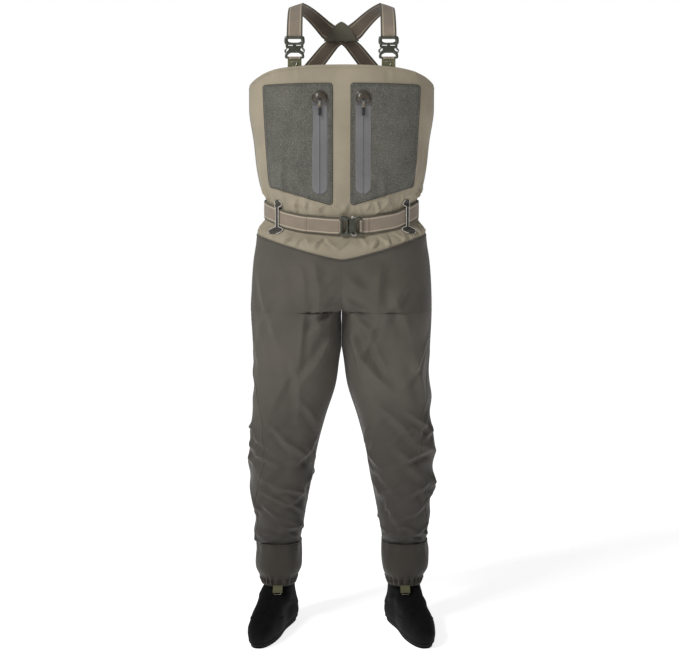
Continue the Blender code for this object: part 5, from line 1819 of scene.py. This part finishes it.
@dataclass
class Yoke:
    """The crossing patch behind the neck: a soft triangle with its point up, sewn round its border."""

    palette: Palette
    y: float
    z: float = 1.500
    half: float = 0.044

    def build(self) -> None:
        """Make the patch and its border stitches."""
        arc = np.linspace(0, math.pi, 48)[1:-1]
        body = np.stack([signed_power(np.cos(arc), 1.45) * 0.0355, 0.0415 * np.sin(arc) ** 1.35 - 0.0165],
                axis=-1)
        outline = [(self.half, -0.0240), (self.half, -0.0195), (0.0365, -0.0175), *map(tuple, body.tolist()),
                   (-0.0365, -0.0175), (-self.half, -0.0195), (-self.half, -0.0240)]
        ring = [(x, self.z + z) for x, z in outline]
        sheets = plate(ring, self.y - 0.0031, self.y - 0.0021, 0.0003).joined(
            plate(ring, self.y + 0.0021, self.y + 0.0031, 0.0003))
        put("back_yoke_patch", sheets, self.palette.yoke, replaces=("back_yoke",))
        flat = np.array([(x * 0.88, self.z - 0.002 + (z + 0.002) * 0.86) for x, z in outline])
        flat = np.concatenate([flat, flat[:1]])
        for way, name in ((-1.0, "front"), (1.0, "rear")):
            path = np.stack([flat[:, 0], np.full(len(flat), self.y + way * 0.0032), flat[:, 1]], axis=-1)
            put(f"back_yoke_stitches_{name}", stitches(path, np.tile([0, way, 0], (len(path), 1))),
                self.palette.dark_thread)


@dataclass
class WadingBelt:
    """The wading belt: a webbing band round the waist, a short tongue, and its buckle."""

    form: BodyForm
    palette: Palette
    width: float = 0.044
    web: float = 0.0018
    off: float = 0.0020
    centre: float = 0.022
    size: float = 1.15

    def __post_init__(self) -> None:
        """Work out where the webbing meets the buckle."""
        length = 0.046 * self.size
        self.right_end = self.centre - length / 2 - 0.0009
        self.left_end = self.centre + length / 2 + 0.0009
        self.tongue_end = self.right_end - 0.080

    def band(self, angle: Array, off: float) -> tuple[Array, Array, Array]:
        """x, y and middle height of an upright band that clears the cloth over the belt's width."""
        c, s = self.form.oval(angle)
        middle = self.form.belt(np.abs(c), s < 0)
        levels = [self.form.waisted(middle + step, np.abs(c), s < 0) for step in (
            -self.width / 2, 0, self.width / 2)]
        half = np.max([self.form.half(level) for level in levels], axis=0) + off
        depth = np.max([self.form.depth(level) for level in levels], axis=0) + off
        return half * c, depth * s, middle

    def edges(self, angle: Array, off: float = 0.0) -> tuple[Array, Array]:
        """Upper and lower edge of the webbing."""
        x, y, middle = self.band(angle, self.off + self.web + off)
        y = y - 0.0030 * np.exp(-(((x - self.centre) / 0.050) ** 2)) * (y < 0)
        wave = 0.0006 * np.sin(angle * 9.0) + 0.0004 * np.sin(angle * 17.0 + 1.0)
        top = np.stack([x, y + self.form.middle, middle + self.width / 2 + wave], axis=-1)
        return top, top - [0.0, 0.0, self.width]

    def angle(self, x: float) -> float:
        """Angle on the front where the webbing reaches x."""
        width = float(self.band(np.array(0.0), self.off + self.web)[0])
        swing = math.acos(min(abs(x) / width, 1.0) ** (self.form.power / 2))
        return -swing if x > 0 else swing - math.pi

    def build(self) -> None:
        """Make the band, the tongue, the buckle and the sewn ends."""
        start, end = self.angle(self.left_end), self.angle(self.tongue_end - 0.0003) + 2 * math.pi
        band = ribbon(*self.edges(np.linspace(start, end, 420)), self.web, 0.0004, 20)
        put("belt_band", band, self.palette.brace, replaces=("belt_webbing",))
        tongue = np.linspace(self.angle(self.tongue_end + 0.0003), self.angle(self.right_end), 60)
        strip = put("belt_tongue_web", ribbon(*self.edges(tongue), self.web, 0.0004, 20), self.palette.brace,
                    replaces=("belt_tongue",))
        low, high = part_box("belt_tongue")
        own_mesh(strip)
        for x in (self.left_end + 0.016, self.left_end + 0.0185):
            top, bottom = self.edges(np.array([self.angle(x)]))
            path = np.linspace(top[0] + [0, -0.0006, -0.003], bottom[0] + [0, -0.0006, 0.003], 12)
            put(f"belt_sewn_row_{int(x * 1e4)}", stitches(path, np.tile([0, -1, 0], (12, 1))),
                self.palette.dark_thread)
        low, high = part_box("belt_buckle_socket")
        turn = Matrix.Rotation(-math.pi / 2, 4, "Y")
        place = Matrix.Translation((high[0], (low[1] + high[1]) / 2, self.form.belt_front)) @ turn
        buckle = SideReleaseBuckle("belt", self.palette, place, self.size)
        buckle.build("garment", "belt_plug", lambda label: f"belt_arm_{label}")
        buckle.wrap("belt_fold_left", -0.0010, 0.0040, 0.0142, "garment")
        buckle.wrap("belt_fold_right", 0.0410, 0.0468, 0.0142, "belt_plug")


@dataclass
class BeltLoop:
    """A belt loop: an hourglass strip with pale piping down both edges and broad sewn feet."""

    name: str
    angle: float
    belt: WadingBelt
    palette: Palette
    cloth: float = 0.0014

    def surface(self, across: Array, rise: Array, off: float) -> Array:
        """Points of the strip; across runs -1 to 1 over it and rise -1 to 1 along it."""
        form, half_belt = self.belt.form, self.belt.width / 2
        middle = self.belt.band(np.array(self.angle), 0.0)[2]
        reach = half_belt + 0.018
        feet = ease(np.abs(rise) * reach - half_belt - 0.0015, 0.0, 0.008)
        wide = np.where(rise < 0, 0.0230, 0.0165)
        lens = np.sqrt(np.clip(1 - ((np.abs(rise) - 0.81) / 0.205) ** 2, 0, 1))
        arc = (0.0062 + (wide - 0.0062) * lens**1.1) / form.waist_size[0]
        angle = self.angle + across * arc
        z = middle + rise * reach + 0 * angle
        over_x, over_y, _ = self.belt.band(angle, self.belt.off + self.belt.web + self.cloth + 0.0026 + off)
        foot = form.torso(angle, z, self.cloth + 0.0026 + off)
        x = over_x * (1 - feet) + foot[..., 0] * feet
        y = (over_y + form.middle) * (1 - feet) + foot[..., 1] * feet
        return meet(x, y, z)

    def build(self) -> None:
        """Make the strip, the piping and the bar tacks on both feet."""
        rise = np.linspace(-1, 1, 110)[:, None]
        across = np.linspace(-1, 1, 22)[None, :]
        uv = meet(across * 0.01, rise * 0.04)
        put(f"{self.name}_cloth", slab(self.surface(across, rise, 0.0), self.cloth, uv), self.palette.loop,
            replaces=(self.name,))
        pipes = [tube(self.surface(np.array(way * 0.97), rise[:, 0], -0.0002), 0.0009, 8) for way in (-1.0,
                1.0)]
        put(f"{self.name}_piping", pipes[0].joined(pipes[1]), self.palette.piping)
        tacks = []
        for height in (-0.93, -0.86, 0.86, 0.93):
            path = self.surface(np.linspace(-0.85, 0.85, 20), np.full(20, height), 0.0004)
            tacks.append(stitches(path, unit(path - [0, self.belt.form.middle, 0]) * [1, 1, 0], 0.0016,
                    0.0006))
        put(f"{self.name}_tacks", tacks[0].joined(*tacks[1:]), self.palette.thread)


@dataclass
class AccessoryRing:
    """A small D-ring that hangs on the bib tab."""

    side: Side
    palette: Palette

    def build(self) -> None:
        """Make the ring on its own body."""
        label = self.side.label
        low, high = (np.array(corner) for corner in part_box(f"{label}_d_ring"))
        mid, half = (low + high) / 2, (high - low) / 2 - 0.0009
        turn = np.linspace(math.pi, 2 * math.pi, 30)
        arc = np.stack([mid[0] + half[0] * np.cos(turn), mid[1] + 0 * turn,
                        high[2] - 0.0009 + 2 * half[2] * np.sin(turn)], axis=-1)
        flat = np.linspace(arc[-1], arc[0], 14)[1:-1]
        ring = tube(np.concatenate([arc, flat]), 0.0009, 10, closed=True)
        put(f"{label}_d_ring_wire", ring, self.palette.metal, f"{label}_d_ring",
            replaces=(f"{label}_d_ring",))


@dataclass
class LaceKeeper:
    """A webbing tab on the cuff's front with a wire hook for the boot lace."""

    side: Side
    form: BodyForm
    palette: Palette
    tilt: float = math.radians(62)

    def build(self) -> None:
        """Make the tab, its stitches and the hook in the hinge's frame, then turn them."""
        label = self.side.label
        hinge = Matrix.Translation((self.side.value * 0.160, self.form.middle - 0.0615, 0.110))
        place = hinge @ Matrix.Rotation(-self.tilt, 4, "X")
        turn, shift = np.array(place.to_3x3()), np.array(place.translation)
        ring = [(x * 0.012, -0.0135 + z * 0.0125) for x, z in (
            (-0.92, -1), (0.92, -1), (1, -0.94), (1, 0.94), (0.92, 1), (-0.92, 1), (-1, 0.94), (-1, -0.94))]
        tab = plate(ring, -0.0007, 0.0007, 0.0003)
        hook = np.array([(-0.0085, -0.0016, -0.0245), (-0.0085, -0.0016, -0.0290),
                (-0.0085, 0.0006, -0.0310),
                         (0.0085, 0.0006, -0.0310), (0.0085, -0.0016, -0.0290), (0.0085, -0.0016, -0.0245)])
        rows = []
        for z in (-0.0045, -0.0215):
            path = np.linspace([-0.0105, -0.0009, z], [0.0105, -0.0009, z], 12)
            rows.append(stitches(path, np.tile([0, -1.0, 0], (12, 1))))
        slots = {"tab": (tab, self.palette.tape, "olive_webbing", (f"{label}_lace_tab",)),
                 "hook": (tube(hook, 0.0006, 8), self.palette.metal, "zip_metal", (f"{label}_lace_hook",)),
                 "stitches": (rows[0].joined(rows[1]), self.palette.dark_thread, "olive_webbing", ())}
        for name, (shape, material, slot, nodes) in slots.items():
            moved = Shape(shape.points @ turn.T + shift, shape.faces, shape.corners)
            put(f"{label}_lace_{name}_piece", moved, material, f"{label}_lace_keeper", replaces=nodes)


# ------------------------------------------------------------------ studio
@dataclass
class Studio:
    """Pale floor, soft lights and a camera in front of the waders at chest height."""

    middle: float
    distance: float = 3.4
    height: float = 1.10
    down: float = math.radians(5.7)
    lens: float = 72.1
    ambient: float = 0.11
    glow: float = 0.80
    sun_power: float = 1.0
    sun_spread: float = math.radians(10)

    def build(self) -> None:
        """Make the floor, the lights, the world and the camera."""
        self.floor()
        self.light("key", (-1.7, -2.0, 2.5), (0.8, 0.8), 35.0)
        self.light("fill", (2.2, -2.2, 1.9), (2.0, 2.0), 3.5)
        self.light("top", (0.0, 0.6, 3.2), (2.4, 2.4), 5.0)
        self.sun()
        self.world()
        bpy.context.scene.view_settings.view_transform = "Standard"
        self.camera()

    def world(self) -> None:
        """Plain white surroundings that light the garment at a small share of their seen brightness."""
        world = bpy.data.worlds.new("soft_white")
        world.use_nodes = True
        graph = Graph(world.node_tree)
        path = graph.node("LightPath")
        strength = graph.math("MULTIPLY_ADD", path.outputs["Is Camera Ray"], 1.0 - self.ambient,
                self.ambient)
        background = world.node_tree.nodes["Background"]
        background.inputs["Color"].default_value = (1.0, 1.0, 1.0, 1.0)
        world.node_tree.links.new(strength, background.inputs["Strength"])
        bpy.context.scene.world = world

    def sun(self) -> None:
        """A wide soft sun from the front, high on the wearer's right, which evens out the floor."""
        data = bpy.data.lights.new("sun", "SUN")
        data.energy = self.sun_power
        data.angle = self.sun_spread
        obj = bpy.data.objects.new("sun", data)
        obj.rotation_euler = (math.radians(48), 0.0, math.radians(-52))
        bpy.context.scene.collection.objects.link(obj)

    def floor(self) -> None:
        """A large plain floor under the soles."""
        mesh = bpy.data.meshes.new("floor")
        mesh.from_pydata([(-9, -9, 0), (9, -9, 0), (9, 9, 0), (-9, 9, 0)], [], [(0, 1, 2, 3)])
        material = bpy.data.materials.new("studio_floor")
        material.use_nodes = True
        shader = material.node_tree.nodes["Principled BSDF"]
        shader.inputs["Base Color"].default_value = (0.88, 0.88, 0.88, 1.0)
        shader.inputs["Roughness"].default_value = 0.9
        shader.inputs["Emission Color"].default_value = (1.0, 1.0, 1.0, 1.0)
        shader.inputs["Emission Strength"].default_value = self.glow
        mesh.materials.append(material)
        obj = bpy.data.objects.new("floor", mesh)
        bpy.context.scene.collection.objects.link(obj)

    def light(self, name: str, place: tuple[float, float, float], size: tuple[float, float],
            power: float) -> None:
        """A soft rectangular light that faces the garment's middle."""
        data = bpy.data.lights.new(name, "AREA")
        data.shape = "RECTANGLE"
        data.size, data.size_y = size
        data.energy = power
        obj = bpy.data.objects.new(name, data)
        obj.location = place
        aim = Vector((0.0, self.middle, 0.8)) - Vector(place)
        obj.rotation_euler = aim.to_track_quat("-Z", "Y").to_euler()
        bpy.context.scene.collection.objects.link(obj)

    def camera(self) -> None:
        """A camera that looks level across and slightly down."""
        data = bpy.data.cameras.new("camera")
        data.sensor_width = 36.0
        data.lens = self.lens
        obj = bpy.data.objects.new("camera", data)
        obj.location = (-0.005, self.middle - self.distance, self.height)
        obj.rotation_euler = (math.pi / 2 - self.down, 0.0, 0.0)
        bpy.context.scene.collection.objects.link(obj)
        bpy.context.scene.camera = obj


def main() -> None:
    """Build every piece in order over the loaded frame, then the studio."""
    logging.basicConfig(level=logging.INFO, format="%(message)s")
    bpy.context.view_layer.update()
    low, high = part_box("left_leg_front"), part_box("left_leg_back")
    form = BodyForm(middle=(low[1][1] + high[0][1]) / 2)
    palette = Palette()
    bib = Bib(form, palette)
    bib.build()
    for side in Side:
        Leg(side, form, palette).build()
        Cuff(side, form, palette).build()
        Sock(side, form, palette).build()
        ChestPocket(side, bib, palette).build()
        WaterproofZip(side, bib, palette).build()
        low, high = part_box(f"{side.label}_buckle_socket")
        middle_y = (low[1] + high[1]) / 2
        place = Matrix.Translation((side.value * STRAP_X, middle_y, low[2]))
        buckle = SideReleaseBuckle(side.label, palette, place)
        buckle.build("garment", f"{side.label}_plug", lambda label: f"{side.label}_arm_{label}")
        buckle.wrap(f"{side.label}_brace_fold", 0.0400, 0.0466, 0.0140, f"{side.label}_plug")
        buckle.wrap(f"{side.label}_tab_fold", -0.0010, 0.0042, 0.0140, "garment")
        brace = Brace(side, form, palette, middle_y)
        brace.build()
        AccessoryRing(side, palette).build()
        LaceKeeper(side, form, palette).build()
    low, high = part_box("back_yoke")
    Yoke(palette, (low[1] + high[1]) / 2).build()
    belt = WadingBelt(form, palette)
    belt.build()
    for name, degrees in LOOP_ANGLES.items():
        BeltLoop(name, math.radians(degrees), belt, palette).build()
    Studio(form.middle).build()


if __name__ == "__main__":
    main()
